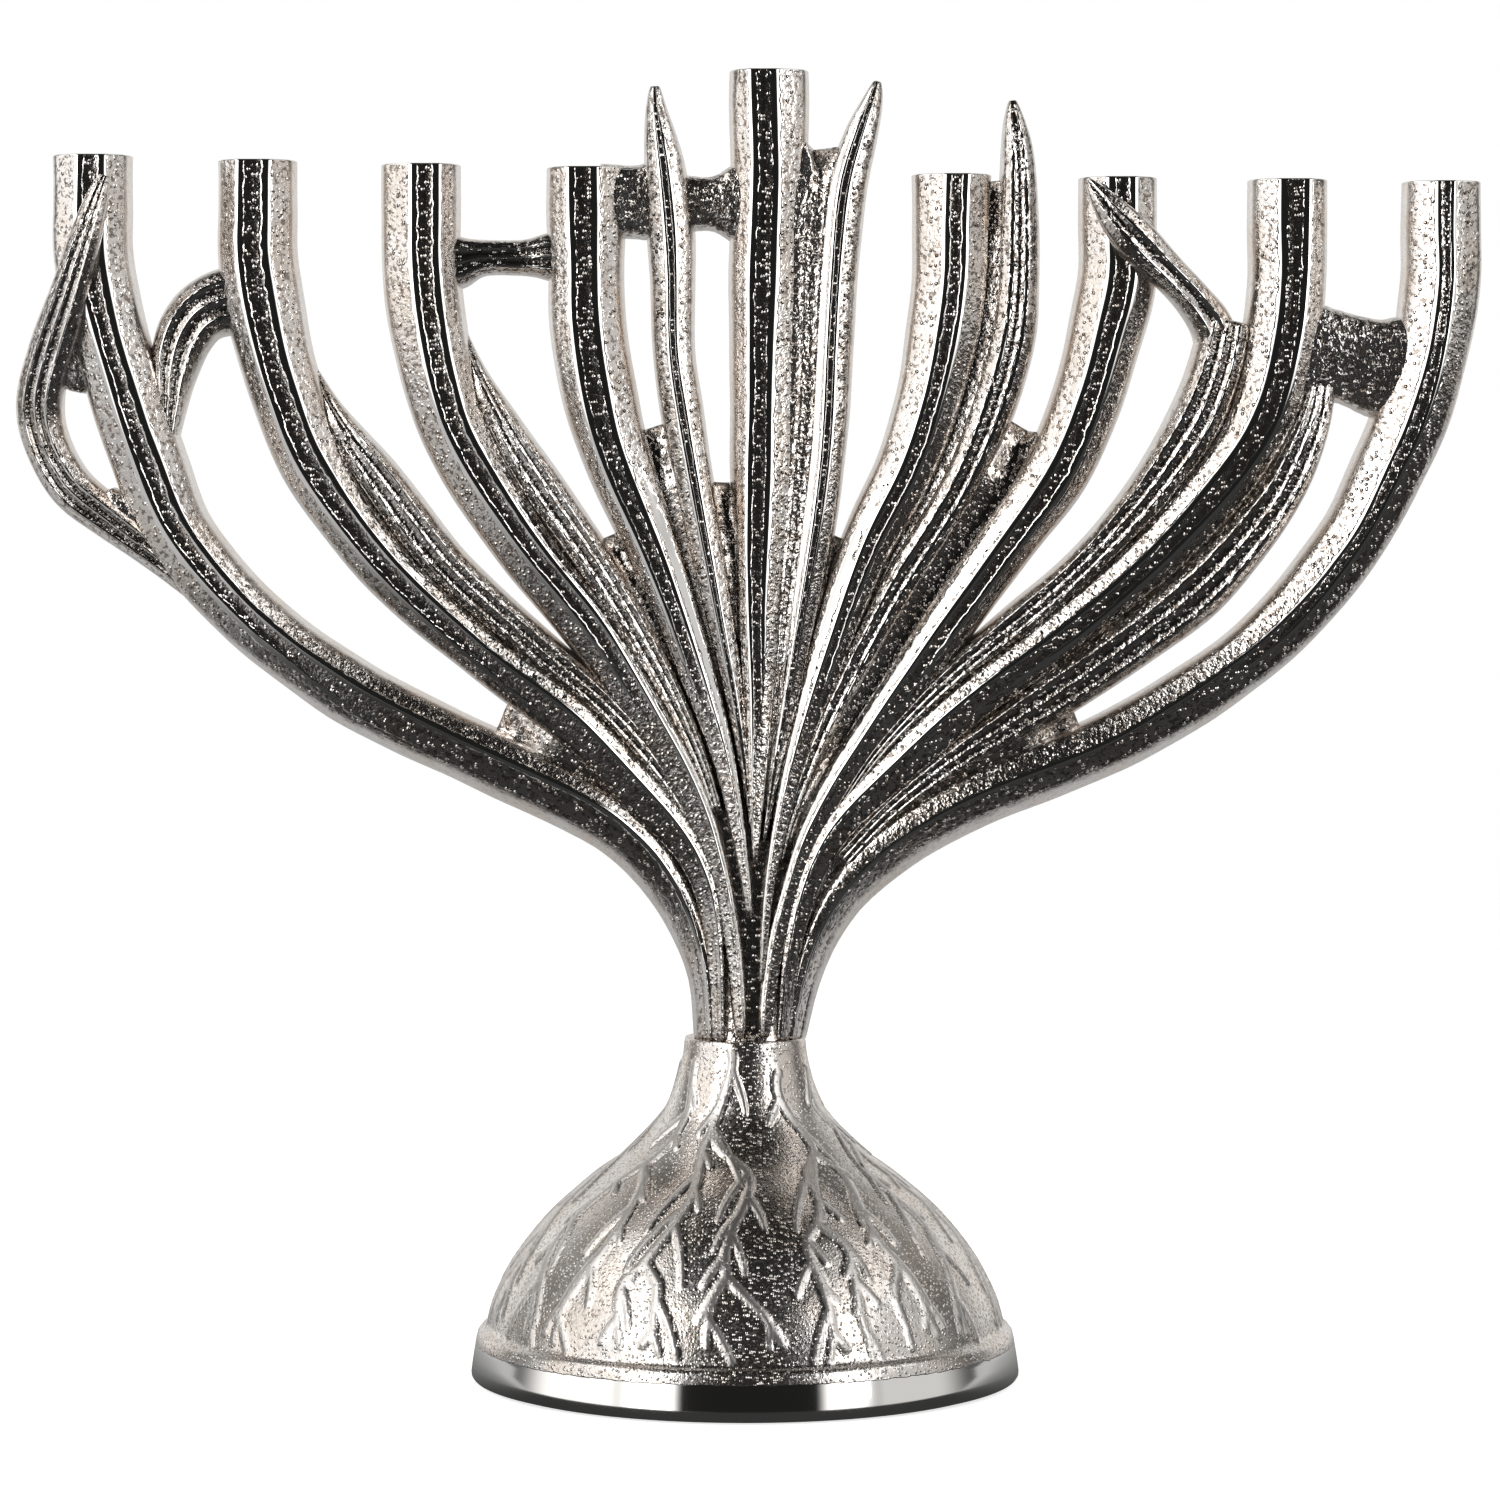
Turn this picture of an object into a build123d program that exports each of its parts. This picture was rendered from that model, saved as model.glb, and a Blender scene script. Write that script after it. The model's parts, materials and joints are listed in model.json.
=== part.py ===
"""Nine-branched tree menorah (hanukkiah), nickel-plated cast aluminium, in millimetres.

A flat, tree-shaped casting carries nine candle cups. Its neck sits in a shallow socket on top of a
hollow, bell-shaped base, and an M8 stud, washers and a hex nut clamp the two castings together.
+Z is up, the tree lies in the XZ plane, the front faces -Y, and the origin is the centre of the
surface that the felt ring stands on.

The tree is one casting on the real object. It is split here along its natural valleys into a trunk,
arms, cups, spikes, ribbons and bridges, which meet face to face.
"""
from build123d import *
import math
import os

# ---- driving dimensions ----
CUP_HEIGHT = 20.0
CUP_RADIUS = 8.1
CANDLE_RADIUS = 5.6
CANDLE_DEPTH = 16.0

SOCKET_Z = 67.0          # where the neck stands inside the base's socket
SOCKET_DEPTH = 1.6
SOCKET_RADIUS = 11.1
NECK_RADIUS = 10.85
TRUNK_CENTRE = (1.5, 80.0)   # x and z of the arc where the trunk ends and the arms begin
TRUNK_RADIUS = 36.0

FELT_THICKNESS = 0.8
FELT_INNER = 49.6
FELT_OUTER = 52.6
RIM_RADIUS = 55.0
RIM_TOP = 9.2
WALL = 3.2

STUD_RADIUS = 4.0
STUD_TOP = 86.0
STUD_BOTTOM = 42.0
STUD_HOLE_END = 88.0
THREAD_CLEARANCE = 0.05
CEILING_Z = 58.0         # inside face of the base's top, where the washer bears
BASE_HOLE_RADIUS = 4.6
WASHER_THICKNESS = 1.6
WASHER_RADIUS = 8.0
SPRING_WASHER_THICKNESS = 2.0
SPRING_WASHER_RADIUS = 6.4
SPRING_WASHER_GAP = 1.2
NUT_THICKNESS = 6.5
NUT_ACROSS_FLATS = 13.0

# ---- limbs: (x, z, half width) from the top down; the first point is the foot of the cup ----
ARMS = {
    "arm_left_4": [(-129.8, 224.6, 8.1), (-127.2, 212, 7.7), (-122.8, 198, 8.0), (-119.6, 186, 7.6),
                   (-111.6, 167, 7.1), (-99, 153, 6.8), (-75, 136, 6.8), (-50, 124, 6.5),
                   (-26, 108.6, 5.4), (-15, 96, 4.4)],
    "arm_left_3": [(-97.0, 223.6, 8.1), (-94.8, 210, 7.9), (-90.6, 195.6, 7.5), (-81.4, 176.6, 7.1),
                   (-65, 156.5, 6.4), (-41, 136.4, 5.6), (-18, 116.2, 4.6), (-9, 102, 3.4)],
    "arm_left_2": [(-64.5, 222.8, 8.1), (-63.2, 211, 7.9), (-59.2, 196.2, 7.8), (-50.8, 176.2, 7.0),
                   (-36, 156.4, 5.0), (-20.4, 136.2, 4.2), (-8.4, 116.2, 3.0), (-4.2, 106.2, 2.4)],
    "arm_left_1": [(-31.6, 222.2, 7.8), (-31.2, 210, 7.8), (-28.9, 196.2, 7.7), (-22.4, 176.2, 6.5),
                   (-13.8, 156.2, 5.3), (-6.0, 136.2, 3.8), (-0.8, 116.2, 2.2), (0.4, 106, 1.6)],
    "centre_stem": [(4.8, 241.4, 7.8), (3.5, 226, 7.6), (3.0, 206, 7.3), (3.0, 176.2, 6.4),
                    (3.2, 156.2, 4.9), (3.0, 136.2, 3.6), (2.4, 116.2, 2.4), (1.8, 104, 1.8)],
    "arm_right_1": [(41.1, 220.8, 8.0), (39.4, 207, 7.7), (33.8, 186.2, 7.0), (24.6, 166.2, 6.2),
                    (16, 146.2, 4.7), (9.4, 126.2, 3.0), (7.0, 116.2, 2.4), (4.6, 106.2, 2.0)],
    "arm_right_2": [(74.2, 220.2, 8.0), (71.2, 206.2, 7.7), (63.4, 186.2, 7.2), (49.6, 166.2, 6.6),
                    (33.4, 146.2, 5.1), (20.4, 126.2, 3.6), (15, 116.2, 3.0), (10.2, 106.2, 2.4)],
    "arm_right_3": [(108, 219.8, 8.1), (105.2, 206.2, 8.0), (96.6, 186.2, 7.4), (82, 166.2, 6.8),
                    (60, 146.2, 5.5), (34.4, 126.2, 4.2), (25.4, 116.2, 3.6), (18.2, 106.2, 3.0)],
    "arm_right_4": [(138.6, 219.4, 8.0), (135.6, 205, 7.9), (130, 186.2, 7.5), (119.6, 166.2, 6.9),
                    (101.7, 146.2, 6.7), (72, 126.6, 6.0), (50, 116.6, 5.5), (29, 105, 4.6),
                    (18.6, 93.8, 4.0)],
}
CUP_TOPS = {"arm_left_4": 244.6, "arm_left_3": 243.6, "arm_left_2": 242.8, "arm_left_1": 242.2,
            "centre_stem": 261.4, "arm_right_1": 240.8, "arm_right_2": 240.2, "arm_right_3": 239.8,
            "arm_right_4": 239.4}
# spikes and ribbons taper to a tip at the top and run down beside an arm
RIBBONS = {
    "ribbon_left_3": [(-83.4, 199, 0.8), (-77, 188, 3.2), (-69.4, 176, 3.4), (-52.6, 156.4, 3.7),
                      (-40, 145.6, 3.9), (-28, 135.6, 4.0), (-17.4, 123, 3.6), (-10, 110, 2.6)],
    "ribbon_left_2": [(-52.4, 200.4, 0.8), (-46, 188, 3.1), (-38.4, 176.2, 3.9), (-24.6, 156.2, 3.8),
                      (-13.4, 136.2, 3.0), (-6.4, 120, 2.2), (-3, 110, 1.6)],
    "spike_left": [(-17.8, 257.2, 0.7), (-16.7, 248, 3.2), (-15.7, 236, 4.5), (-14.7, 216.2, 4.7),
                   (-12.8, 196.2, 4.7), (-9.8, 176.2, 5.0), (-4.8, 156.2, 3.9), (-1.2, 136.2, 2.2),
                   (0.2, 122, 1.4), (1.0, 110, 1.0)],
    "spike_right": [(26.2, 258.2, 0.7), (23.4, 250.4, 3.2), (19.9, 236, 4.3), (18, 216.2, 4.2),
                    (16, 196.2, 4.0), (14, 176.2, 3.8), (10.8, 156.2, 2.9), (7, 136.2, 1.9),
                    (4.8, 122, 1.3), (3.4, 110, 1.0)],
    "spike_outer": [(53.6, 254.2, 0.9), (54.3, 247, 3.3), (53.8, 232.2, 4.6), (52.6, 210, 5.1),
                    (48.6, 190, 5.4), (36.6, 166.2, 4.3), (24, 146.2, 2.9), (14, 126.2, 1.9),
                    (9.6, 116, 1.5), (6.6, 106, 1.2)],
    "ribbon_right_2": [(91.6, 212.2, 2.6), (91.4, 204, 3.8), (85.6, 190, 3.6), (76.4, 174.2, 3.6),
                       (59.4, 156.8, 3.6), (44.6, 145, 3.4), (30, 132.4, 2.8), (18.6, 118, 2.0),
                       (13.0, 106, 1.4)],
    "ribbon_right_3": [(114.6, 200.8, 2.8), (110.8, 190, 3.9), (103.6, 174.4, 4.0), (88, 156.6, 4.0),
                       (61.6, 136.2, 3.8), (42, 122.6, 3.4), (26, 108.6, 2.8),
                       (15.4, 96.0, 2.0)],
}
LEFT_TO_RIGHT = ["arm_left_4", "arm_left_3", "ribbon_left_3", "arm_left_2", "ribbon_left_2",
                 "arm_left_1", "spike_left", "centre_stem", "spike_right", "arm_right_1",
                 "spike_outer", "arm_right_2", "ribbon_right_2", "arm_right_3", "ribbon_right_3",
                 "arm_right_4"]
# free twigs: (x, y, z, half width, half depth)
LOOP_TWIG = [(-127.8, -8.6, 239, 0.9, 1.0), (-130.4, -8.4, 229, 2.2, 2.4), (-134.2, -6.2, 217, 3.7, 3.8),
             (-139.2, -2.5, 205, 4.6, 4.8), (-141.0, 0, 195.4, 5.0, 5.2), (-138.2, 0, 184, 5.0, 5.4),
             (-130.6, 0, 174, 5.0, 5.6), (-119.4, 0, 164.8, 4.6, 5.6), (-108.6, 0, 157, 3.4, 5.0)]
THORN_TWIG = [(68.6, -8.6, 237.4, 0.9, 1.2), (73.2, -9.2, 231.6, 3.0, 3.4), (80.6, -7.0, 221.4, 4.2, 4.6),
              (87.4, -3.0, 214.2, 4.2, 5.2), (91.8, 0, 205.6, 3.8, 5.4)]
ELBOW_TWIG = [(-98.6, 0, 215.4, 5.0, 5.4), (-107.0, 0, 214.6, 5.2, 5.4), (-112.6, 0, 208, 5.0, 5.2),
              (-115.0, 0, 199, 4.4, 4.8), (-115.6, 0, 190, 3.0, 4.0)]
RUNG = [(-58.6, 0, 224.2, 4.4, 4.4), (-52.6, 0, 224.4, 3.5, 3.6), (-44, 0, 224.4, 3.3, 3.4),
        (-38.4, 0, 224.6, 4.2, 4.2)]
# webs: x from, x to, z from, z to, half depth
WEBS = {"web_left": (-26.4, -15.6, 228.6, 241.8, 3.6), "web_centre_left": (-15.6, 0.2, 229.8, 240.6, 3.6),
        "web_centre_right": (8.6, 20, 228, 243.8, 3.6), "web_right": (110.4, 132.6, 195.4, 213.6, 3.4)}
WEB_ARCH_RISE = 2.2      # the arch cut into a web's lower edge
WEB_ARCH_SHARE = 0.32

# outer profile of the base: (radius, z) from the collar down to the rim
BELL = [(11.9, 68.6), (12.8, 64), (15.3, 56), (18.2, 52), (24.2, 46), (32.2, 40), (38.8, 34),
        (44.2, 28), (48.2, 22), (50.9, 16), (52.2, RIM_TOP)]
# trunk sections: (centre x, z, half width, half depth)
TRUNK = [(0, 68.6, NECK_RADIUS, NECK_RADIUS), (1.0, 76, 11.8, 10.4), (1.8, 86, 14.8, 9.7),
         (2.6, 96, 21.2, 9.1), (4.2, 106, 34.6, 8.7), (5.0, 116, 55, 8.4)]
MIDDLE_DEPTH = 20.0      # anything that reaches clear through the tree, front to back
VALLEY_STEP = 4
VALLEY_HEIGHTS = range(260, 84, -VALLEY_STEP)
OPEN_SIDE = 2.0          # room beside a limb that has no neighbour
TIP_ROOM = 3.0
CUP_JOINT_REACH = 2.0
FAR = 1000.0
CRUMB_SHARE = 0.1        # bits a boolean leaves that are smaller than this are dropped


def half_depth(x, z, slim):
    """Half the thickness of a limb: thick at the neck, thinner out along the arms."""
    reach = math.hypot(x, z - SOCKET_Z)
    full = 7.7 + 1.6 * max(0.0, 1.0 - reach / 110.0)
    return full - (1.8 if slim else 0.0)


def directions(points):
    """Unit direction of travel at each point, in 3D, from its neighbours."""
    out = []
    for i, here in enumerate(points):
        before = points[max(i - 1, 0)]
        after = points[min(i + 1, len(points) - 1)]
        out.append((Vector(*after) - Vector(*before)).normalized())
    return out


def section_wire(centre, travel, half_w, half_d, turn=Vector(0, 1, 0)):
    """Ten-sided limb section: a flat crest front and back, sloping facets and a narrow side wall."""
    across = turn.cross(travel).normalized()
    depth = travel.cross(across).normalized()
    outline = [(1, 0), (0.93, 0.56), (0.36, 1), (-0.36, 1), (-0.93, 0.56),
               (-1, 0), (-0.93, -0.56), (-0.36, -1), (0.36, -1), (0.93, -0.56)]
    corners = [Vector(*centre) + across * (u * half_w) + depth * (v * half_d) for u, v in outline]
    return Wire.make_polygon(corners, close=True)


def planar_limb(points, slim):
    """A limb in the tree's middle plane, from (x, z, half width) points."""
    places = [(x, 0, z) for x, z, _ in points]
    wires = []
    for (x, z, half_w), centre, travel in zip(points, places, directions(places)):
        depth = min(half_depth(x, z, slim), half_w * 1.9 + 0.8)
        wires.append(section_wire(centre, travel, half_w, depth))
    return Solid.make_loft(wires)


def reach_into_cup(points):
    """The same limb, started a little above the flat joint with its cup."""
    (x0, z0, wide), (x1, z1, _) = points[0], points[1]
    rise = CUP_JOINT_REACH / (z0 - z1)
    return [(x0 + (x0 - x1) * rise, z0 + CUP_JOINT_REACH, wide)] + points[1:]


def free_limb(points):
    """A twig that also moves front to back, from (x, y, z, half width, half depth) points."""
    places = [p[:3] for p in points]
    wires = [section_wire(centre, travel, p[3], p[4])
             for p, centre, travel in zip(points, places, directions(places))]
    return Solid.make_loft(wires)


def at_height(points, z):
    """(x, horizontal half width) of a limb at height z, or None beyond its ends."""
    for (xa, za, wa), (xb, zb, wb) in zip(points, points[1:]):
        if zb <= z <= za:
            share = (za - z) / (za - zb)
            slope = math.hypot(xb - xa, zb - za) / (za - zb)
            return xa + (xb - xa) * share, (wa + (wb - wa) * share) * slope
    return None


def valley(left, right, z):
    """x of the valley between two neighbouring limbs at height z."""
    a = at_height(left, z)
    b = at_height(right, z)
    if b is None:
        return a[0] + a[1] + OPEN_SIDE
    if a is None:
        return b[0] - b[1] - OPEN_SIDE
    return (a[0] + a[1] + b[0] - b[1]) / 2


def neighbour(limbs, index, step, z):
    """The next limb that exists at height z, going left (-1) or right (+1)."""
    index += step
    while 0 <= index < len(LEFT_TO_RIGHT):
        if at_height(limbs[LEFT_TO_RIGHT[index]], z):
            return limbs[LEFT_TO_RIGHT[index]]
        index += step
    return [(step * FAR, FAR, 1), (step * FAR, -FAR, 1)]


def territory(limbs, name):
    """The block between a limb's two valleys, through the whole depth of the tree."""
    index = LEFT_TO_RIGHT.index(name)
    points = limbs[name]
    left_side, right_side = [], []
    for z in VALLEY_HEIGHTS:
        if at_height(points, z):
            left_side.append((valley(neighbour(limbs, index, -1, z), points, z), z))
            right_side.append((valley(points, neighbour(limbs, index, 1, z), z), z))
    top = points[0][1] + (0 if name in ARMS else TIP_ROOM)
    for side in (left_side, right_side):
        side.insert(0, (side[0][0], top))
        side.append((side[-1][0], side[-1][1] - VALLEY_STEP))
    ring = [Vector(x, -MIDDLE_DEPTH, z) for x, z in left_side + right_side[::-1]]
    return extrude(Face(Wire.make_polygon(ring, close=True)), amount=2 * MIDDLE_DEPTH, dir=(0, 1, 0))


def trunk_disc():
    """Round block through the tree that holds the trunk; the arms begin where it ends."""
    x, z = TRUNK_CENTRE
    return Pos(x, 0, z) * Rot(90, 0, 0) * Cylinder(TRUNK_RADIUS, 2 * MIDDLE_DEPTH)


def make_trunk():
    wires = []
    for x, z, half_w, half_d in TRUNK:
        wires.append((Pos(x, 0, z) * Ellipse(half_w, half_d)).wire())
    body = Solid.make_loft(wires) & trunk_disc()
    spigot = Pos(0, 0, SOCKET_Z) * Cylinder(
        NECK_RADIUS, TRUNK[0][1] - SOCKET_Z, align=(Align.CENTER, Align.CENTER, Align.MIN))
    hole = Pos(0, 0, SOCKET_Z) * Cylinder(
        STUD_RADIUS + THREAD_CLEARANCE, STUD_HOLE_END - SOCKET_Z, align=(Align.CENTER, Align.CENTER, Align.MIN))
    return body + spigot - hole


def make_cup(foot, top):
    """A straight ten-sided cup with a blind candle bore, open at the top."""
    x, z, _ = foot
    wires = [section_wire((x, 0, height), Vector(0, 0, -1), CUP_RADIUS, CUP_RADIUS) for height in (top, z)]
    body = Solid.make_loft(wires)
    bore = Pos(x, 0, top - CANDLE_DEPTH) * Cylinder(
        CANDLE_RADIUS, CANDLE_DEPTH + 1, align=(Align.CENTER, Align.CENTER, Align.MIN))
    return body - bore


def make_web(box):
    """A flat web between two limbs, arched along its lower edge."""
    x_low, x_high, z_low, z_high, half_d = box
    middle = (x_low + x_high) / 2
    block = Pos(middle, 0, (z_low + z_high) / 2) * Box(x_high - x_low, 2 * half_d, z_high - z_low)
    arch = Ellipse((x_high - x_low) * WEB_ARCH_SHARE, WEB_ARCH_RISE)
    return block - extrude(Plane.XZ.offset(-MIDDLE_DEPTH) * Pos(middle, z_low) * arch, amount=2 * MIDDLE_DEPTH)


def make_base():
    """Hollow bell with a rounded rim, a socket for the neck and a hole for the stud."""
    with BuildPart() as base:
        with BuildSketch(Plane.XZ):
            with BuildLine():
                outer = Spline(*BELL)
                lip = ThreePointArc((BELL[-1][0], RIM_TOP), (RIM_RADIUS, 5.4), (RIM_RADIUS - 1.4, FELT_THICKNESS))
                Line((RIM_RADIUS - 1.4, FELT_THICKNESS), (FELT_INNER - 0.6, FELT_THICKNESS))
                inner = [(FELT_INNER - 0.6, FELT_THICKNESS)]
                inner += [(r - WALL, z - WALL * 0.35) for r, z in BELL[:3:-1]]
                inner += [(12.2, CEILING_Z - 9.0)]
                Spline(*inner)
                Line(inner[-1], (10.6, CEILING_Z))
                Line((10.6, CEILING_Z), (BASE_HOLE_RADIUS, CEILING_Z))
                Line((BASE_HOLE_RADIUS, CEILING_Z), (BASE_HOLE_RADIUS, SOCKET_Z))
                Line((BASE_HOLE_RADIUS, SOCKET_Z), (SOCKET_RADIUS, SOCKET_Z))
                Line((SOCKET_RADIUS, SOCKET_Z), (SOCKET_RADIUS, SOCKET_Z + SOCKET_DEPTH))
                Line((SOCKET_RADIUS, SOCKET_Z + SOCKET_DEPTH), BELL[0])
            make_face()
        revolve(axis=Axis.Z)
    return base.part


def ring(outer, inner, z_low, height):
    disc = Cylinder(outer, height, align=(Align.CENTER, Align.CENTER, Align.MIN))
    hole = Cylinder(inner, height, align=(Align.CENTER, Align.CENTER, Align.MIN))
    return Pos(0, 0, z_low) * (disc - hole)


def make_fixings():
    """Stud, flat washer, split spring washer and hex nut, stacked under the base's ceiling."""
    stud = Pos(0, 0, STUD_BOTTOM) * Cylinder(
        STUD_RADIUS, STUD_TOP - STUD_BOTTOM, align=(Align.CENTER, Align.CENTER, Align.MIN))
    stud = chamfer(stud.edges().filter_by(GeomType.CIRCLE), 0.8)
    washer_z = CEILING_Z - WASHER_THICKNESS
    washer = ring(WASHER_RADIUS, STUD_RADIUS + 0.25, washer_z, WASHER_THICKNESS)
    spring_z = washer_z - SPRING_WASHER_THICKNESS
    spring = ring(SPRING_WASHER_RADIUS, STUD_RADIUS + 0.15, spring_z, SPRING_WASHER_THICKNESS)
    spring -= Pos(SPRING_WASHER_RADIUS, 0, spring_z) * Box(
        2 * SPRING_WASHER_RADIUS, SPRING_WASHER_GAP, 4 * SPRING_WASHER_THICKNESS)
    nut_z = spring_z - NUT_THICKNESS
    hexagon = RegularPolygon(NUT_ACROSS_FLATS / 2, 6, major_radius=False)
    nut = extrude(Pos(0, 0, nut_z) * hexagon, amount=NUT_THICKNESS)
    nut = nut & Pos(0, 0, nut_z) * chamfer(Cylinder(
        NUT_ACROSS_FLATS * 0.58, NUT_THICKNESS, align=(Align.CENTER, Align.CENTER, Align.MIN)).edges().filter_by(
            GeomType.CIRCLE), 1.0)
    nut -= Pos(0, 0, nut_z) * Cylinder(
        STUD_RADIUS + THREAD_CLEARANCE, NUT_THICKNESS, align=(Align.CENTER, Align.CENTER, Align.MIN))
    return {"stud": stud, "flat_washer": washer, "spring_washer": spring, "hex_nut": nut}


def without_crumbs(shape):
    """The main solid of a boolean's result."""
    largest = max(solid.volume for solid in shape.solids())
    kept = [solid for solid in shape.solids() if solid.volume > largest * CRUMB_SHARE]
    return kept[0] if len(kept) == 1 else Compound(children=kept)


def main():
    os.makedirs("parts", exist_ok=True)
    limbs = {**ARMS, **RIBBONS}
    disc = trunk_disc()
    nodes = {"trunk": make_trunk()}
    for name, points in limbs.items():
        whole = reach_into_cup(points) if name in ARMS else points
        limb = planar_limb(whole, slim=name in RIBBONS)
        nodes[name] = (limb & territory(limbs, name)) - disc
    for name, points in ARMS.items():
        cup = name.replace("arm_", "cup_").replace("centre_stem", "cup_centre")
        nodes[cup] = make_cup(points[0], CUP_TOPS[name])
    nodes["spike_right"] -= nodes["cup_centre"]
    nodes["spike_left"] -= nodes["cup_centre"]
    nodes["spike_outer"] -= nodes["cup_right_1"]
    nodes["loop_twig"] = free_limb(LOOP_TWIG) - nodes["cup_left_4"] - nodes["arm_left_4"]
    nodes["thorn_twig"] = free_limb(THORN_TWIG) - nodes["cup_right_2"] - nodes["arm_right_2"]
    nodes["thorn_twig"] -= nodes["ribbon_right_2"]
    nodes["elbow_twig"] = free_limb(ELBOW_TWIG) - nodes["cup_left_3"] - nodes["arm_left_3"]
    nodes["elbow_twig"] -= nodes["arm_left_4"]
    nodes["rung"] = free_limb(RUNG) - nodes["cup_left_2"] - nodes["cup_left_1"]
    nodes["rung"] = nodes["rung"] - nodes["arm_left_2"] - nodes["arm_left_1"]
    beside = {"web_left": ["cup_left_1", "arm_left_1", "spike_left"],
              "web_centre_left": ["spike_left", "centre_stem"],
              "web_centre_right": ["centre_stem", "cup_centre", "spike_right"],
              "web_right": ["arm_right_3", "ribbon_right_3", "arm_right_4", "cup_right_4"]}
    for name, box in WEBS.items():
        web = make_web(box)
        for neighbour in beside[name]:
            web = web - nodes[neighbour]
        nodes[name] = web
    nodes["base"] = make_base()
    nodes["felt_ring"] = ring(FELT_OUTER, FELT_INNER, 0, FELT_THICKNESS)
    nodes.update(make_fixings())
    for name, shape in nodes.items():
        kept = without_crumbs(shape)
        export_step(kept, f"parts/{name}.step")
        print(name, len(kept.solids()), round(sum(solid.volume for solid in kept.solids()), 1))


main()
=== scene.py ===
"""Nine-branched tree menorah of nickel-plated cast metal on a bell-shaped base, built around its CAD frame.

The limbs of the tree are grids rolled round their own routes, each with its ridges, facets and side walls,
and then subdivided and pebbled. The base is a bell with raised roots. The lengths below are in
millimetres, and the meshes are in metres.
"""
import bpy
import json
import math
import random
import numpy as np
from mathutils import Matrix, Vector, kdtree

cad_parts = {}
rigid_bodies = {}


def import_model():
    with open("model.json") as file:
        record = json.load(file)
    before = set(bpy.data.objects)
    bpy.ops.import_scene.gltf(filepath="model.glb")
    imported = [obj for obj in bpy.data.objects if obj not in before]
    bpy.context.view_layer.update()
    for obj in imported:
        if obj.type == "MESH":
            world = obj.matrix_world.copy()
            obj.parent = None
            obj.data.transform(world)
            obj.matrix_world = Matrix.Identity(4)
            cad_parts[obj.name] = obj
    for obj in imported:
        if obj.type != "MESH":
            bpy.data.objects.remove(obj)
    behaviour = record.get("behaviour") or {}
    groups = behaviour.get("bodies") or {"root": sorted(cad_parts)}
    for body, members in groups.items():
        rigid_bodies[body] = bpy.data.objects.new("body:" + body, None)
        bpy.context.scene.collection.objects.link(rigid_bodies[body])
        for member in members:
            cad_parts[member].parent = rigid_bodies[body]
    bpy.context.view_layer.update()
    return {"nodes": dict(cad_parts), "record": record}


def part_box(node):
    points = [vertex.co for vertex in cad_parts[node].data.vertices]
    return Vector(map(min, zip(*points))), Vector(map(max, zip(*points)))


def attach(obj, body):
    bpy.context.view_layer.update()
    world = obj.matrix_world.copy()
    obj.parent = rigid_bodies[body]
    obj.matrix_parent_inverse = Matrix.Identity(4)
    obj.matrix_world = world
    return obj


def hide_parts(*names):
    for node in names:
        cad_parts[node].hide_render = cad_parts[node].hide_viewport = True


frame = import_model()

bl_info = {
    "name": "Tree Menorah",
    "version": (1, 0, 0),
    "blender": (4, 5, 0),
    "location": "View3D > Sidebar > Menorah",
    "description": "Builds a cast-metal tree menorah around its CAD frame",
    "category": "Add Mesh",
}

MM = 0.001
SEED = 11
BODY = "root"

# ---- the tree as a whole, by height: tables of z, and of what it is there ----
NECK_RADIUS = 10.7
TREE_MIDDLE = ([68, 86, 106, 118], [0.6, 1.8, 4.2, 5.0])      # x of its middle
TREE_HALF_WIDTH = ([66, 76, 86, 96, 106, 118], [NECK_RADIUS, 12.0, 15.0, 21.5, 34, 62])
TREE_HALF_DEPTH = ([66, 86, 110, 140, 262], [NECK_RADIUS, 9.9, 9.2, 8.7, 8.1])
FLAT_HEIGHTS = (92, 128)         # where it turns from round to flat
HEART_HALF_WIDTH = ([66, 76, 86, 96, 106, 126], [NECK_RADIUS, 10.8, 13.2, 17.5, 23, 24])
HEART_HALF_DEPTH = ([66, 70, 86, 100, 126], [NECK_RADIUS - 0.6, 8.4, 7.4, 5.8, 3.4])
HEART_HEIGHTS = (67.2, 126.0)
HEART_STEP = 1.6
HEART_AROUND = 48
HEART_SHADE = 0.35

# ---- limbs ----
TIP_SHARE = 0.3          # how far down a spike its thin tip reaches
VALLEY_FOOT = 90.0
VALLEY_STEP = 7.0
FACET_SHINE_HEIGHTS = (198.0, 160.0)     # where the arms' facets turn from pebbled to polished
FACET_SHADE_HEIGHTS = (184.0, 150.0)         # and from light to dark, by painted shade
FOLD_HEIGHTS = (158.0, 118.0)            # where each arm's two ridges fold into one
FULL_WIDTH = 8.0         # half width of an arm at its cup
MARKS = ("polish", "wall", "shade")
CROTCH_DEPTH = 14.0      # how far down a valley takes to fill to its full depth
NOTCH_DEPTH = 1.2
NOTCH_SHARE = 1.2        # how much deeper still a notch is, as a share of its half width
WELD_GAP = 0.004
GRAIN_WIDTH = 1.3        # of the raised grain
RIDGE_CREASE = 0.3
CREASE_FROM = 0.85       # how polished both ends of an edge are where it is creased
SIDE = 0.38              # how far forward a limb's side, its corners and its facets stand, as shares
CORNER = 0.66
FACET = 0.83
RIDGE_FOOT = 0.95
ROOF_DROP = 0.34         # from the main ridge to the corners, once the ridges have folded into it
CORNERS = (-0.86, 0.86)  # where the corners lie across, as shares of the half width
OUTER_CORNER = 0.88      # the same on the two outermost arms


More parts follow.
